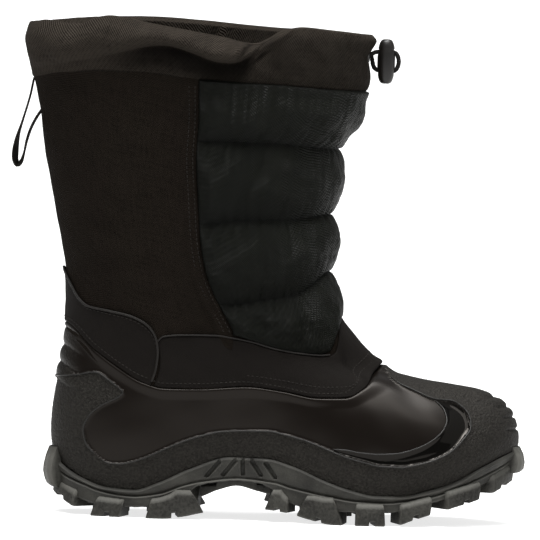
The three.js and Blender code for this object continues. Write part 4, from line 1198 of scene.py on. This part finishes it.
RIM_NEAR = table("x z", [
    [-150, 294.8], [-140, 296.4], [-133, 296.0], [-126, 295.0], [-119, 295.2], [-110, 299.2],
    [-101, 300.6], [-92, 299.8], [-85, 298.2], [-74.8, 296.4], [-50.7, 292.6], [-30, 289.2],
    [-21, 287.0], [-14, 286.6], [-7, 289.6], [2, 294.6], [14, 297.0], [30, 295.7], [42, 294.4],
    [56, 292.6],
])
RIM_FAR = table("x z", [
    [-150, 294.8], [-110, 297.8], [-77, 298.8], [-47, 297.5], [-17, 295.3], [6, 294.2], [30, 294.0],
    [56, 292.6],
])
COLLAR_FRONT = drawn([258, 261, 267, 274, 279.5, 285, 288.6, 290.5, 292, 293],
                     [1.0, 1.6, 2.7, 1.5, 0.4, 1.5, 2.4, 2.6, 1.8, 0.4])
ROLL_NEAR = table("x z", [
    [-146, 267.5], [-140, 269.5], [-113, 275.5], [-90, 281], [-77, 284], [-68, 284.6], [-51.5, 280.6],
    [-35, 275.6], [-27, 275.4], [-20, 278.5], [-6, 290.5], [8, 297.4], [30, 300], [56, 300],
])
ROLL_FAR = table("x z", [
    [-146, 267.5], [-100, 277], [-62, 280], [-20, 277], [10, 284], [34, 294], [56, 300],
])
COLLAR_STROKES = table("x0 z0 x1 z1 width height", [
    [-27, 291.5, -11, 286.5, 1.8, -2.6], [-12, 284, 6, 296.5, 2.2, 2.8], [-9, 289, 8, 299, 1.6, -1.8],
    [-32, 276, -19.5, 291, 2.2, 2.4], [-26.5, 277, -15, 289, 1.8, -2.4], [-22, 277, -10, 290, 1.8, 2.2],
    [-16, 275, -7, 284, 1.6, -2.0], [-46, 278.5, -30, 286, 3.2, 1.4], [-60, 284, -40, 291, 3.4, -1.2],
    [-38, 283, -28, 291, 2.2, -1.4], [-84, 288, -62, 295, 4.0, 1.1], [-112, 281, -92, 296, 4.0, -1.1],
    [-130, 276, -119, 294, 4.0, 1.1], [-102, 279, -82, 290, 4.0, 0.9], [-143, 286, -132, 272, 3.2, -1.1],
    [-126, 284, -114, 296, 3.0, -0.9], [-76, 281, -58, 290, 3.0, 0.9],
    [2, 292, 9, 268, 4.5, 1.0], [16, 294, 18, 270, 3.6, -0.9], [28, 292, 27, 266, 4.4, 0.8],
    [40, 290, 37, 266, 3.2, -0.8], [-6, 279, 4, 266, 3.6, -1.0], [-14, 274, -4, 267, 3.0, 0.9],
    [-60, 277, -36, 270, 3.5, -0.8], [-96, 276, -66, 277, 3.5, -0.6],
])
TROUGH_SHADE = 0.4             # how much a trough over 0.8 mm deep darkens for each mm more
COLLAR_LEVEL, COLLAR_COLUMNS, COLLAR_ROWS, COLLAR_INSIDE_ROWS = 282, 460, 92, 44
COLLAR_WALL = 4.4              # how deep under the last the collar's inside lies


def collar_roll(x, depth, span):
    """How far the padded roll stands out, depth above its lower edge, where it is span tall."""
    round_lip = 1 - np.exp(-np.maximum(depth, 0) / mix(6.0, 1.5, ease((x + 120) / 60)))
    rise = np.clip(depth / span, 0, 1)
    belly = 0.12 + 0.88 * np.sin(math.pi * (0.16 + 0.84 * rise) ** 0.72) ** 0.85
    roll = mix(7.2, 9.4, ease((x + 110) / 30)) * ease((span - 1.0) / 10) * round_lip * belly
    tuck = 2.4 * np.exp(-np.maximum(-depth, 0) / 6) * (depth < 0) * ease(span / 8)
    return roll - tuck * ease((x + 115) / 40)


def collar_outside(turns, seam, rim):
    """(points, painted shade) of the outside: a padded roll along each side over a flat band."""
    share = shares(COLLAR_ROWS) ** 0.95
    level = mix(seam, rim, share)
    x, y, z = last_xyz(turns, level)
    outer_side = turns <= 1
    edge_z = np.where(outer_side, line(ROLL_NEAR)(x), line(ROLL_FAR)(x))
    depth, span = z - edge_z, np.maximum(z[-1] - edge_z, 0.5)
    side = ease(np.abs(np.sin(math.pi * turns)) / 0.55)
    forward = ease((np.cos(math.pi * (turns - 1)) - 0.1) / 0.9)
    band = 2.8 * np.sin(math.pi * np.clip(share * 0.82 + 0.05, 0, 1)) * (1 - 0.5 * ease(span / 14))
    at_back = 0.8 * band + BACK_FULLNESS * ease((0.4 - share) / 0.4)
    out = side * (collar_roll(x, depth, span) + band)
    out += (1 - side) * mix(at_back, COLLAR_FRONT(z), forward)
    strokes = creases(x, z, COLLAR_STROKES)
    out += side * np.where(outer_side, strokes, 0.5 * creases(-x - 60, z, COLLAR_STROKES))
    out += 0.3 * waves(x + y, z, 13, 51) * ease(share * 6) + 0.45 * ease((share - 0.02) / 0.03)
    # Painted shade under the roll's lower edge, on the front band below the rim and in troughs over 0.8 mm
    # deep; also darker just above the seam.
    painted_shade = side * bell(depth + 2, np.where(depth > -2, 2.2, 15)) * ease((x + 118) / 50) * ease(span / 9)
    painted_shade = np.maximum(painted_shade, 0.5 * ease((x + 30) / 30) * ease((296 - z) / 8))
    painted_shade = np.clip(painted_shade + TROUGH_SHADE * side * np.maximum(-strokes - 0.8, 0), 0, 1)
    return offset(turns, level, out), np.maximum(painted_shade, 0.8 * bell(share, 0.035))


def collar_inside(turns, seam, rim):
    level = mix(seam, rim, np.linspace(1, -0.12, COLLAR_INSIDE_ROWS)[:, None]) - 0.5
    x, y, z = last_xyz(turns, level)
    out = 0.18 * waves(x + y, z, 6, 57, 16) - COLLAR_WALL
    out[0] += 2.0
    out[-1] += 1.2
    return offset(turns, level, out)


def collar_casing():
    turns = even_turns(COLLAR_LEVEL, COLLAR_COLUMNS)
    seam = level_on(collar_seam, turns) - 0.8
    rim = np.where(turns <= 1, level_on(line(RIM_NEAR), turns), level_on(line(RIM_FAR), turns))
    outside, painted_shade = collar_outside(turns, seam, rim)
    inside = collar_inside(turns, seam, rim)
    over = shares(10)[1:-1, :, None]
    lip = mix(outside[-1], inside[0], over) + 1.3 * np.sin(math.pi * over) * UP
    rest = np.zeros((len(lip) + len(inside), len(turns)))
    tube_piece("collar_casing", np.concatenate([outside, lip]), inside[::-1], TWILL, "collar_fabric",
               node="collar", fields={"painted_shade": np.vstack([painted_shade, rest])})


# ---------------------------------------------------------------- pull loop

LOOP_ROUTE = table("x z", [
    [-144.6, 264.5], [-146.8, 262], [-147.9, 257.6], [-148.9, 252], [-150.4, 246], [-153.2, 236],
    [-156.0, 226], [-157.2, 217], [-157.0, 211.5], [-155.6, 208.9], [-153.6, 210.6], [-151.9, 216],
    [-150.6, 223], [-148.6, 230], [-145.9, 236], [-143.2, 240.6], [-141.0, 243.5], [-139.4, 245],
])
TAPE_WIDTH, TAPE_THICKNESS = 9.0, 1.35


def pull_loop():
    route = catmull(np.stack([LOOP_ROUTE["x"], 0 * LOOP_ROUTE["x"], LOOP_ROUTE["z"]], axis=1), 10)
    route = even(route, 110)
    share = np.linspace(0, 1, len(route))
    twist = np.radians(24) * bell(share - 0.52, 0.13) - np.radians(5) * share
    spot = np.linspace(-1, 1, 15)
    face = np.stack([spot * TAPE_WIDTH / 2, (1 - 0.5 * np.abs(spot) ** 8) * TAPE_THICKNESS / 2], axis=1)
    profile = np.vstack([face, face[::-1] * (1, -1)])
    wide = np.array([0, 1.0, 0])
    rings = []
    for point, tangent, angle in zip(route, unit(np.gradient(route, axis=0)), twist):
        across = math.cos(angle) * wide + math.sin(angle) * unit(np.cross(tangent, wide))
        rings.append(point + profile @ np.stack([across, np.cross(tangent, across)]))
    points, quads = cap_rings(rings)
    run = share * run_along(route)[-1]
    flat = np.stack(np.broadcast_arrays(profile[:, 0], run[:, None]), axis=-1).reshape(-1, 2)
    flat = np.vstack([flat, [[0, 0], [0, run[-1]]]])
    make("pull_tape", points, quads, TAPE, "loop_tape", node="pull_loop", uv=flat[quads.ravel()], sharp=50)


# ---------------------------------------------------------------- rubber galosh

BEVEL_LINE = table("x z", [
    [-103.1, 37.9], [-98.7, 34.2], [-93.8, 32.2], [-87.9, 32.1], [-79.9, 33.8], [-69.7, 37.8],
    [-59.1, 42.9], [-48.5, 47.6], [-37.9, 51.1], [-27.3, 53.6], [-11.3, 54.6], [1.9, 54.7],
    [10, 53.2], [23.5, 49.9], [37, 45], [47.9, 41], [58.7, 38.2], [69.5, 36], [80.5, 35.9],
    [93.9, 38.4], [101.8, 41], [109.7, 45.1], [114.9, 49.6], [119.1, 54.5], [122.1, 59.4],
    [122.1, 62.4], [120.4, 67.5], [115.1, 72.5], [109.8, 74.9], [100.3, 75.7], [89, 80],
    [73.2, 87.8], [68.9, 95.9],
])
CRESCENT = table("x z", [
    [39.7, 45.5], [47.8, 45.1], [55.8, 43.9], [66.5, 43.2], [77.3, 43.8], [90.9, 47.6],
    [98.8, 51.7], [104.1, 56.1], [106.2, 58.9], [107.9, 64.1], [105.9, 70.3], [100.3, 75.2],
])
HEEL_TOP_EDGE = table("x z", [
    [-136, 80], [-128.1, 81.6], [-115.7, 83.9], [-103.9, 86.4], [-96, 82.2], [-89.7, 77.5],
])
HEEL_FRONT_EDGE = table("x z", [
    [-89.7, 77.5], [-87.1, 75.1], [-89.5, 72.3], [-99.6, 66.8], [-106.7, 60.4], [-110.1, 52.1],
    [-108.3, 43.8], [-103.1, 37.9],
])
HEEL_RIB_LOW, HEEL_RIB_PITCH = 83.0, 11.3      # three ribs round the back of the heel
HEEL_RIB_OUT = 2.1
HEEL_RIB_TILT = 0.55           # how fast a rib falls towards the toe
HEEL_RIB_START, HEEL_RIB_END = -131, -108
TOE_GROOVES = ((77.4, 139.7), (71.5, 146.1), (65.4, 149.4), (58.1, 151.2))
TOE_GROOVE_LENGTH, TOE_GROOVE_DEPTH, TOE_GROOVE_SPAN = 9.0, 1.5, 24.0
MATT_PROUD = 0.4               # how far the matte rubber stands over the glossy side
CRESCENT_SUNK, CRESCENT_STEP = 0.9, 2.6
GALOSH_OUT = 0.2               # how far the galosh's face stands proud of the last
GALOSH_WALL = 2.5
GALOSH_LEVEL, GALOSH_COLUMNS, GALOSH_ROWS, GALOSH_INSIDE_ROWS = 60, 640, 100, 22
BEAD_RADIUS, BEAD_LIFT, BEAD_STEPS = 0.42, 0.22, 220
FAR_BELOW = 20.0               # far enough below the top edge not to feel it


def bevel_points():
    return smooth_line(BEVEL_LINE, 140)


def gloss_outline():
    """The glossy side: over the bevel line, closed above the top edge and along the heel patch."""
    heel = np.vstack([smooth_line(HEEL_TOP_EDGE, 20), smooth_line(HEEL_FRONT_EDGE, 40)[1:-1]])
    over = np.array([[62, 112], [0, 125], [-90, 125], [-136, 130]])
    return np.vstack([bevel_points(), over, heel])


def crescent_outline():
    inner = smooth_line(CRESCENT, 60)
    outer = bevel_points()
    start = np.argmin(np.linalg.norm(outer - inner[0], axis=1))
    end = np.argmin(np.linalg.norm(outer - inner[-1], axis=1))
    return np.vstack([inner, outer[start:end + 1][::-1]])


def heel_edge():
    return np.vstack([smooth_line(HEEL_TOP_EDGE, 30), smooth_line(HEEL_FRONT_EDGE, 40)[1:]])


def heel_ribs(x, z):
    rib = (z + HEEL_RIB_TILT * (x - HEEL_RIB_START) - HEEL_RIB_LOW) / HEEL_RIB_PITCH
    round_rib = np.sqrt(np.abs(np.sin(math.pi * rib))) * (rib > 0)
    return HEEL_RIB_OUT * round_rib * ease((HEEL_RIB_END - x) / 16)


def toe_grooves(x, y, z):
    total = np.zeros(np.shape(x))
    for groove_z, groove_x in TOE_GROOVES:
        reach = ease((x - groove_x + TOE_GROOVE_LENGTH) / 3) * ease((TOE_GROOVE_SPAN - np.abs(y - 7)) / 6)
        total = np.maximum(total, bell(z - groove_z, 1.05) * reach)
    return total


def galosh_relief(point, edge_run):
    """(out, fields) of the galosh's face at points of the last, edge_run below its top edge."""
    x, y, z = np.moveaxis(point, -1, 0)
    gloss = ease(signed_depth(x, z, gloss_outline()) / 0.7)
    sunk = signed_depth(x, z, crescent_outline())
    bevel_gap, along = distance_to(x, z, bevel_points())
    heel_gap, _ = distance_to(x, z, heel_edge())
    fade = ease(along / 0.03) * ease((1 - along) / 0.05)
    matt = 1 - gloss
    out = GALOSH_OUT + MATT_PROUD * matt - CRESCENT_SUNK * ease(sunk / CRESCENT_STEP)
    out += 0.3 * bell(bevel_gap, 1.1) * fade + 0.25 * bell(heel_gap, 1.0)
    out += heel_ribs(x, z) - TOE_GROOVE_DEPTH * toe_grooves(x, y, z)
    out += 0.09 * waves(x + y, z, 2.6, 61, 16) * matt + 0.2 * waves(x + y, z, 30, 63)
    out += 0.9 * ease((7 - edge_run) / 6)
    out -= 1.6 * (1 - np.sqrt(np.clip(1 - np.maximum(1.5 - edge_run, 0) ** 2 / 2.4, 0, 1)))
    # The edge field: paler colour along the bevel line and the top edge, a painted highlight, partly wear.
    edge = np.maximum(0.15 * bell(bevel_gap, 0.6) * fade, 0.35 * bell(edge_run, 0.8))
    gloss = gloss * mix(1, 0.45, ease((-110 - x) / 12))
    patent = ease(sunk)
    return out, {"gloss": np.maximum(gloss, patent), "patent": patent, "edge": edge}


def galosh():
    turns = even_turns(GALOSH_LEVEL, GALOSH_COLUMNS)
    low, high = level_on(sole_rim, turns) - 3.5, level_on(shell_top, turns)
    level = mix(low, high, shares(GALOSH_ROWS))
    out, fields = galosh_relief(last_point(turns, level), high - level)
    inside = offset(turns, mix(low, high - 0.2, shares(GALOSH_INSIDE_ROWS)), -GALOSH_WALL)
    fields = {key: np.vstack([values, np.zeros(inside.shape[:2])]) for key, values in fields.items()}
    tube_piece("galosh", offset(turns, level, out), inside, SHELL, "galosh_rubber", node="shell",
               fields=fields)


def beads():
    """Fine raised lines along the bevel, round the crescent and round the heel patch, on both sides."""
    bodies = []
    for points in (bevel_points()[2:-3], smooth_line(CRESCENT, 90), smooth_line(HEEL_FRONT_EDGE, 60),
                   smooth_line(HEEL_TOP_EDGE, 60)):
        around, level = place(*points.T)
        out, _ = galosh_relief(last_point(around, level), FAR_BELOW)
        share = np.linspace(0, 1, BEAD_STEPS)
        radius = BEAD_RADIUS * (0.3 + 0.7 * ease(np.minimum(share, 1 - share) / 0.04))
        for turn in both_sides(around):
            path = even(offset(turn, level, out + BEAD_LIFT), BEAD_STEPS)
            bodies.append(sweep(path, [circle(r, 8) for r in radius]))
    make("shell_beads", *join_bodies(bodies), BEAD, "galosh_rubber")


# ---------------------------------------------------------------- outsole

RIM_OUT, EDGE_OUT = 1.9, 4.0
LUG_OUT, LUG_ROOT = 3.4, 2.4
SHOULDER_RINGS = ((-0.25, 1.9), (0, 1.3), (-0.2, 0.95), (-3.4, 0.95))   # (level over the rim, out)
OUTSOLE_COLUMNS, UNDER_ROWS, BED_ROWS = 760, 66, 12
SIPE_PITCH, SIPE_DEPTH = 6.5, 1.1
ARCH_WEB_HALF = 17.0           # half the arch web's width
BUMPER_HALF = 0.064            # how far round the last a bumper reaches to each side
FAN_SLOTS = table("x0 z0 x1 z1", [
    [-28.3, 34.9, -35.1, 26.9], [-18.7, 36.0, -25.4, 27.8], [-13.8, 36.1, -13.5, 28.4],
    [-8.5, 36.0, -2.9, 28.2], [0.1, 35.1, 5.7, 27.2],
])
SLOT_WIDTH, SLOT_DEPTH = 2.5, 2.6
SIDE_LUGS = table("startX endX reach climb cap startLean endLean notchX notch", [
    [-127.5, -113.6, 15, 4.6, 99, 2, 1, -121, 1.8], [-103.8, -86.5, 19, 4.6, 99, 4, 2, -94.5, 2.5],
    [-71.4, -36.6, 19, 5.2, 17.8, 3, -8, -54, 2.9], [0.4, 14.2, 15, 3.0, 20, 4.5, 0, 8, 1.6],
    [19.7, 47.2, 21, 8.4, 17.4, 6, -6, 33, 2.3], [54.4, 72.4, 21, 5.4, 99, 0.5, -1, 64.6, 2.4],
    [81.2, 98.9, 20, 4.6, 99, 0, 1, 90, 2.5], [108.6, 127.4, 18, 4.8, 99, 0, 1, 119.7, 2.3],
    [134.6, 146.8, 13, 4.6, 99, 0, 1, 141, 1.8],
])
NOTCH_HALF = 1.7               # half the width of the notch in a lug's foot
MIDDLE_LUGS = table("x y length width", [
    [-95, 0, 15, 14], [-63, 0, 13, 22], [-47, 0, 10, 22], [9, 1, 10, 26], [26, 2, 11, 26],
    [42, 3, 10, 26], [64, 4, 15, 26], [90, 5, 14, 22], [117, 6, 13, 16],
])
HEEL_BUMPER = table("out z", [
    [0, 14], [5.2, 15.6], [7.3, 17.2], [8.6, 20.0], [9.7, 24.5], [9.5, 28.5], [8.3, 34], [6.4, 39.4],
    [5.0, 39.8], [3.8, 37.8],
])
TOE_BUMPER = table("out z", [
    [-1.5, 33.5], [3.6, 31.4], [7.4, 32.2], [9.2, 34.0], [9.8, 38.0], [8.8, 43.0], [6.6, 47.2],
    [4.8, 47.8], [3.4, 43],
])
ARCH_WEB_TOP = table("x z", [
    [-43, 16], [-40, 19.0], [-29.6, 19.6], [-28.6, 26], [-6, 26], [-5, 21], [3, 21], [4, 24],
])
ARCH_WEB_LOW = table("x z", [
    [-43, 12], [-39.4, 12.3], [-28.8, 16.6], [-16.8, 19.6], [-4.7, 16.8], [5, 14.9],
])


def sole_edge_at(around):
    """(points, directions outward) of the sole's lower edge at places around the last."""
    outward = unit(last_normal(around, LOW) * PLAN)
    point = last_point(around, LOW) + outward * EDGE_OUT
    point[..., 2] = sole_edge(point[..., 0])
    return point, outward


def fan_slots(x, z):
    """(share of the fan slots' depth, distance from the nearest slot)."""
    gap = np.min([nearest(x, z, slot[:2], slot[2:])[0] for slot in zip(*FAN_SLOTS.values())], axis=0)
    return ease((SLOT_WIDTH / 2 + 0.35 - gap) / 0.7), gap


def flank_heights(edge_z, groove, rim_z):
    """Heights of the rows of the outsole's side, closer together about its groove."""
    low = mix(edge_z, groove - 1.4, np.arange(12)[:, None] / 12)
    middle = mix(groove - 1.4, groove + 1.4, np.arange(14)[:, None] / 14)
    return np.vstack([low, middle, mix(groove + 1.4, rim_z - 0.9, shares(34))])


def outsole_flank(turns, rim_level):
    """(points, wear and painted highlight) of the outsole's side, from its lower edge to its rim."""
    edge, outward = sole_edge_at(turns)
    rim = offset(turns, rim_level, RIM_OUT)
    edge_z, rim_z = edge[:, 2], rim[:, 2]
    groove = np.clip(sole_groove(edge[:, 0]), edge_z + 1.4, rim_z - 2.5)
    z = flank_heights(edge_z, groove, rim_z)
    points = mix(edge, rim, ((z - edge_z) / (rim_z - edge_z))[..., None])
    x, y = points[..., 0], points[..., 1]
    over = z - groove
    slots, slot_gap = fan_slots(x, z)
    above = over > 0.9
    out = 0.9 * np.sin(math.pi * np.clip(over / np.maximum(rim_z - groove, 1), 0, 1)) * (over > 0)
    out += 0.5 * bell(over + 1.3, 0.7) - 1.2 * bell(over, 0.65) + 0.35 * bell(rim_z - 1.4 - z, 0.8)
    out -= SLOT_DEPTH * slots * above + 0.9 * bell(z - edge_z, 0.7)
    out += 0.16 * waves(x + y, z, 9, 71)
    # Paler at the groove's edge, the lower edge, the rim and round the slots: partly wear, partly painted
    # highlight.
    wear_and_highlight = 0.75 * bell(over + 1.0, 0.6) + 0.5 * bell(z - edge_z - 0.5, 0.6)
    wear_and_highlight += 0.35 * bell(rim_z - 0.9 - z, 0.7) + 0.45 * bell(slot_gap - SLOT_WIDTH / 2 - 0.4, 0.5) * above
    points += outward * out[..., None]
    points[..., 2] = z
    return points, wear_and_highlight


def outsole_body():
    turns = even_turns(LOW, OUTSOLE_COLUMNS)
    rim_level = level_on(sole_rim, turns)
    flank, wear_and_highlight = outsole_flank(turns, rim_level)
    rings = [offset(turns, rim_level + rise, out) for rise, out in SHOULDER_RINGS]
    rings.append(offset(turns, LOW, 0.3))
    under = ladder(flank[0], UNDER_ROWS)
    x, y = under[..., 0], under[..., 1]
    sipes = np.maximum(0, np.cos(2 * math.pi * (x + 0.5 * np.abs(y - 3)) / SIPE_PITCH)) ** 2
    under[..., 2] = sole_edge(x) - SIPE_DEPTH * sipes * np.sin(math.pi * shares(UNDER_ROWS)) ** 0.5
    bed = ladder(rings[-1], BED_ROWS)
    points, quads = join_bodies([grid_body(np.concatenate([flank, rings]), wrap=True), grid_body(under),
                                 grid_body(bed, flip=True)])
    # The edge field: wear and painted highlight, none on the shoulder rings or the bed, a little along the
    # sipes.
    unmarked = np.zeros((len(rings), len(turns)))
    worn_and_lit = [np.ravel(part) for part in (wear_and_highlight, unmarked, 0.25 * sipes, np.zeros(bed.shape[:2]))]
    make("outsole_body", points, quads, SOLE, "outsole_rubber", node="outsole",
         fields={"edge": np.concatenate(worn_and_lit)}, sharp=70)


def lug_section(around, reach, climb, cap, lean, notch, pinch):
    """One cross-section of a side lug and how pale each of its points is: partly wear, partly a painted
    highlight, most on its top bevel.
    """
    edge, outward = sole_edge_at(around)
    face = LUG_OUT - pinch
    foot = float(tread(edge[0]))
    top = max(min(edge[2] + climb, cap), foot + 6) - 0.6 * pinch
    low = foot + notch + 0.2 * pinch
    middle = max(low + 1.6, top - 3.6)
    # The third number of each point: how pale it is, partly wear, partly painted highlight.
    profile = [
        (-reach, low, 0), (-3, low, 0.05), (face - 1.6, low, 0.2), (face - 0.7, low + 0.2, 0.5),
        (face - 0.15, low + 0.7, 0.5), (face, low + 1.3, 0.2), (face + 0.1, (low + 1.3 + middle) / 2, 0.1),
        (face, middle, 0.15), (face - 0.3, top - 2.5, 0.6), (face - 1.2, top - 1.0, 1.0),
        (face - 2.4, top - 0.2, 0.9), (face - 4.4, top + 0.1, 0.5), (-2.4, top + 0.1, 0.1),
        (-reach, edge[2] + LUG_ROOT, 0),
    ]
    points = []
    for out, z, _ in profile:
        shift = lean * np.clip((z - foot) / max(top - foot, 1), 0, 1) * (out > -3)
        points.append([edge[0] + outward[0] * out + shift, edge[1] + outward[1] * out, z])
    return points, [wear_and_highlight for _, _, wear_and_highlight in profile]


def side_lug(row, mirrored):
    start_x, end_x, reach, climb, cap, start_lean, end_lean, notch_x, notch = row
    near_ends = [start_x + 0.3, start_x + 0.8, end_x - 0.3, end_x - 0.8]
    near_notch = [notch_x + k for k in (-2.0, -1.75, -1.5, 1.5, 1.75, 2.0)]
    xs = np.sort(np.concatenate([np.linspace(start_x, end_x, 25), near_ends, near_notch]))
    turns = bisect(lambda turn: sole_edge_at(turn)[0][..., 0] > xs, 0.0, 1.0)
    rings, worn_and_lit = [], []
    for x, turn in zip(xs, turns):
        end_gap = min(x - start_x, end_x - x)
        pinch = 1.3 * (1 - min(end_gap / 0.9, 1)) ** 1.5 + 0.14 * float(waves(x, mirrored, 5, 73))
        cut = notch * float(ease((NOTCH_HALF + 0.3 - abs(x - notch_x)) / 0.5))
        lean = mix(start_lean, end_lean, (x - start_x) / (end_x - start_x))
        side = 2 - turn if mirrored else turn
        ring_points, wear_and_highlight = lug_section(side, reach, climb, cap, lean, cut, pinch)
        rings.append(ring_points)
        worn_and_lit.append(np.array(wear_and_highlight) + 0.3 * (end_gap < 0.6))
    if not mirrored:
        rings, worn_and_lit = rings[::-1], worn_and_lit[::-1]
    return cap_rings(rings), np.append(worn_and_lit, [0.1, 0.1])


def middle_lug(x, y, length, width):
    turn = circle(1, 40)
    outline = np.sign(turn) * np.abs(turn) ** 0.3 * (length / 2, width / 2)
    rings = []
    for share, drop in ((0.76, 0.0), (0.84, 0.15), (0.88, 0.8), (0.92, 3.0), (1.0, None)):
        plan = outline * share + (x, y)
        height = tread(plan[:, 0]) + drop if drop is not None else sole_edge(plan[:, 0]) + LUG_ROOT
        rings.append(np.column_stack([plan, height]))
    return cap_rings(rings), np.append(np.repeat([0.5, 0.7, 0.5, 0.1, 0.0], 40), [0.2, 0.0])


def end_bumper(middle, profile):
    """The raised block at the heel's or the toe's end, in three parts."""
    rings = []
    for share in np.linspace(-1, 1, 41):
        edge, outward = sole_edge_at(middle + BUMPER_HALF * share)
        pinch = 1.6 * (max(0, abs(share) - 0.85) / 0.15) ** 1.5 + 2.2 * bell(abs(share) - 0.34, 0.07)
        outs = profile["out"] - pinch * ease(profile["out"] / 6)
        points = edge + outward * outs[:, None]
        points[:, 2] = profile["z"]
        rings.append(points)
    # Paler on the bumper's outer face: partly wear, partly painted highlight.
    wear_and_highlight = 0.25 + 0.75 * ease((profile["out"] - 5) / 4)
    return cap_rings(rings[::-1]), np.append(np.tile(wear_and_highlight, len(rings)), [0.3, 0.3])


def arch_web():
    xs = np.unique(np.concatenate([ARCH_WEB_TOP["x"], np.linspace(-43, 4, 48)]))
    high = np.interp(xs, ARCH_WEB_TOP["x"], ARCH_WEB_TOP["z"])
    low = drawn(ARCH_WEB_LOW["x"], ARCH_WEB_LOW["z"])(xs)
    half = ARCH_WEB_HALF
    rings = []
    for x, top, bottom in zip(xs, high, low):
        section = [(-half + 1, bottom), (half - 1, bottom), (half - 0.3, bottom + 0.3), (half, bottom + 1),
                   (half, top - 0.6), (half - 0.6, top), (-half + 0.6, top), (-half, top - 0.6),
                   (-half, bottom + 1), (-half + 0.3, bottom + 0.3)]
        rings.append([[x, y, z] for y, z in section])
    wear_and_highlight = [0.4, 0.4, 0.9, 0.5, 0.2, 0.2, 0.2, 0.2, 0.5, 0.9]
    return cap_rings(rings), np.append(np.tile(wear_and_highlight, len(rings)), [0.2, 0.2])


def outsole_lugs():
    parts = []
    for row in zip(*SIDE_LUGS.values()):
        parts += [side_lug(row, False), side_lug(row, True)]
    for row in zip(*MIDDLE_LUGS.values()):
        parts.append(middle_lug(*row))
    parts += [end_bumper(0.0, HEEL_BUMPER), end_bumper(1.0, TOE_BUMPER), arch_web()]
    points, quads = join_bodies([body for body, _ in parts])
    worn_and_lit = np.concatenate([wear_and_highlight for _, wear_and_highlight in parts])
    make("outsole_lugs", points, quads, LUG, "outsole_rubber", fields={"edge": worn_and_lit}, sharp=32)


# ---------------------------------------------------------------- floor, light and the pieces

FLOOR_SIZE = 60
LIGHT_AIM = Vector((0, 0, 0.12))
WORLD_LIGHT = 0.3
SUNS = (
    ("key", 3.5, 28, (-0.4, -0.32, 1.6)),
    ("fill", 0.5, 60, (0.9, -0.5, 0.9)),
)
PANELS = (
    ("overhead", 9, (1.1, 0.6), (0.2, -0.7, 1.45)),
    ("above", 20, (0.9, 0.5), (0.25, -0.1, 1.35)),
)


def add_light(name, kind, direction, place_at=(0, 0, 0), **settings):
    """A light that shines against a direction."""
    data = bpy.data.lights.new(name, kind)
    for key, value in settings.items():
        setattr(data, key, value)
    light = bpy.data.objects.new(name, data)
    light.location = place_at
    light.rotation_mode = "QUATERNION"
    light.rotation_quaternion = Vector(direction).to_track_quat("Z", "Y")
    bpy.context.scene.collection.objects.link(light)


def studio():
    bpy.ops.mesh.primitive_plane_add(size=FLOOR_SIZE)
    floor = bpy.context.object
    floor.name = "floor"
    floor.data.materials.append(FLOOR)
    world = bpy.data.worlds.new("world")
    bpy.context.scene.world = world
    world.use_nodes = True
    backdrop = world.node_tree.nodes["Background"]
    backdrop.inputs["Color"].default_value = (1, 1, 1, 1)
    backdrop.inputs["Strength"].default_value = WORLD_LIGHT
    for name, strength, wide, direction in SUNS:
        add_light(name, "SUN", direction, energy=strength, angle=math.radians(wide))
    for name, power, (wide, deep), place_at in PANELS:
        add_light(name, "AREA", Vector(place_at) - LIGHT_AIM, place_at, shape="RECTANGLE", size=wide,
                  size_y=deep, energy=power)


woven_shaft()
fleece_lining()
insole()
overlays()
piping()
seam_stitches()
quilted_front()
collar_casing()
pull_loop()
galosh()
beads()
outsole_body()
outsole_lugs()
studio()
bpy.context.scene.view_settings.view_transform = "Standard"
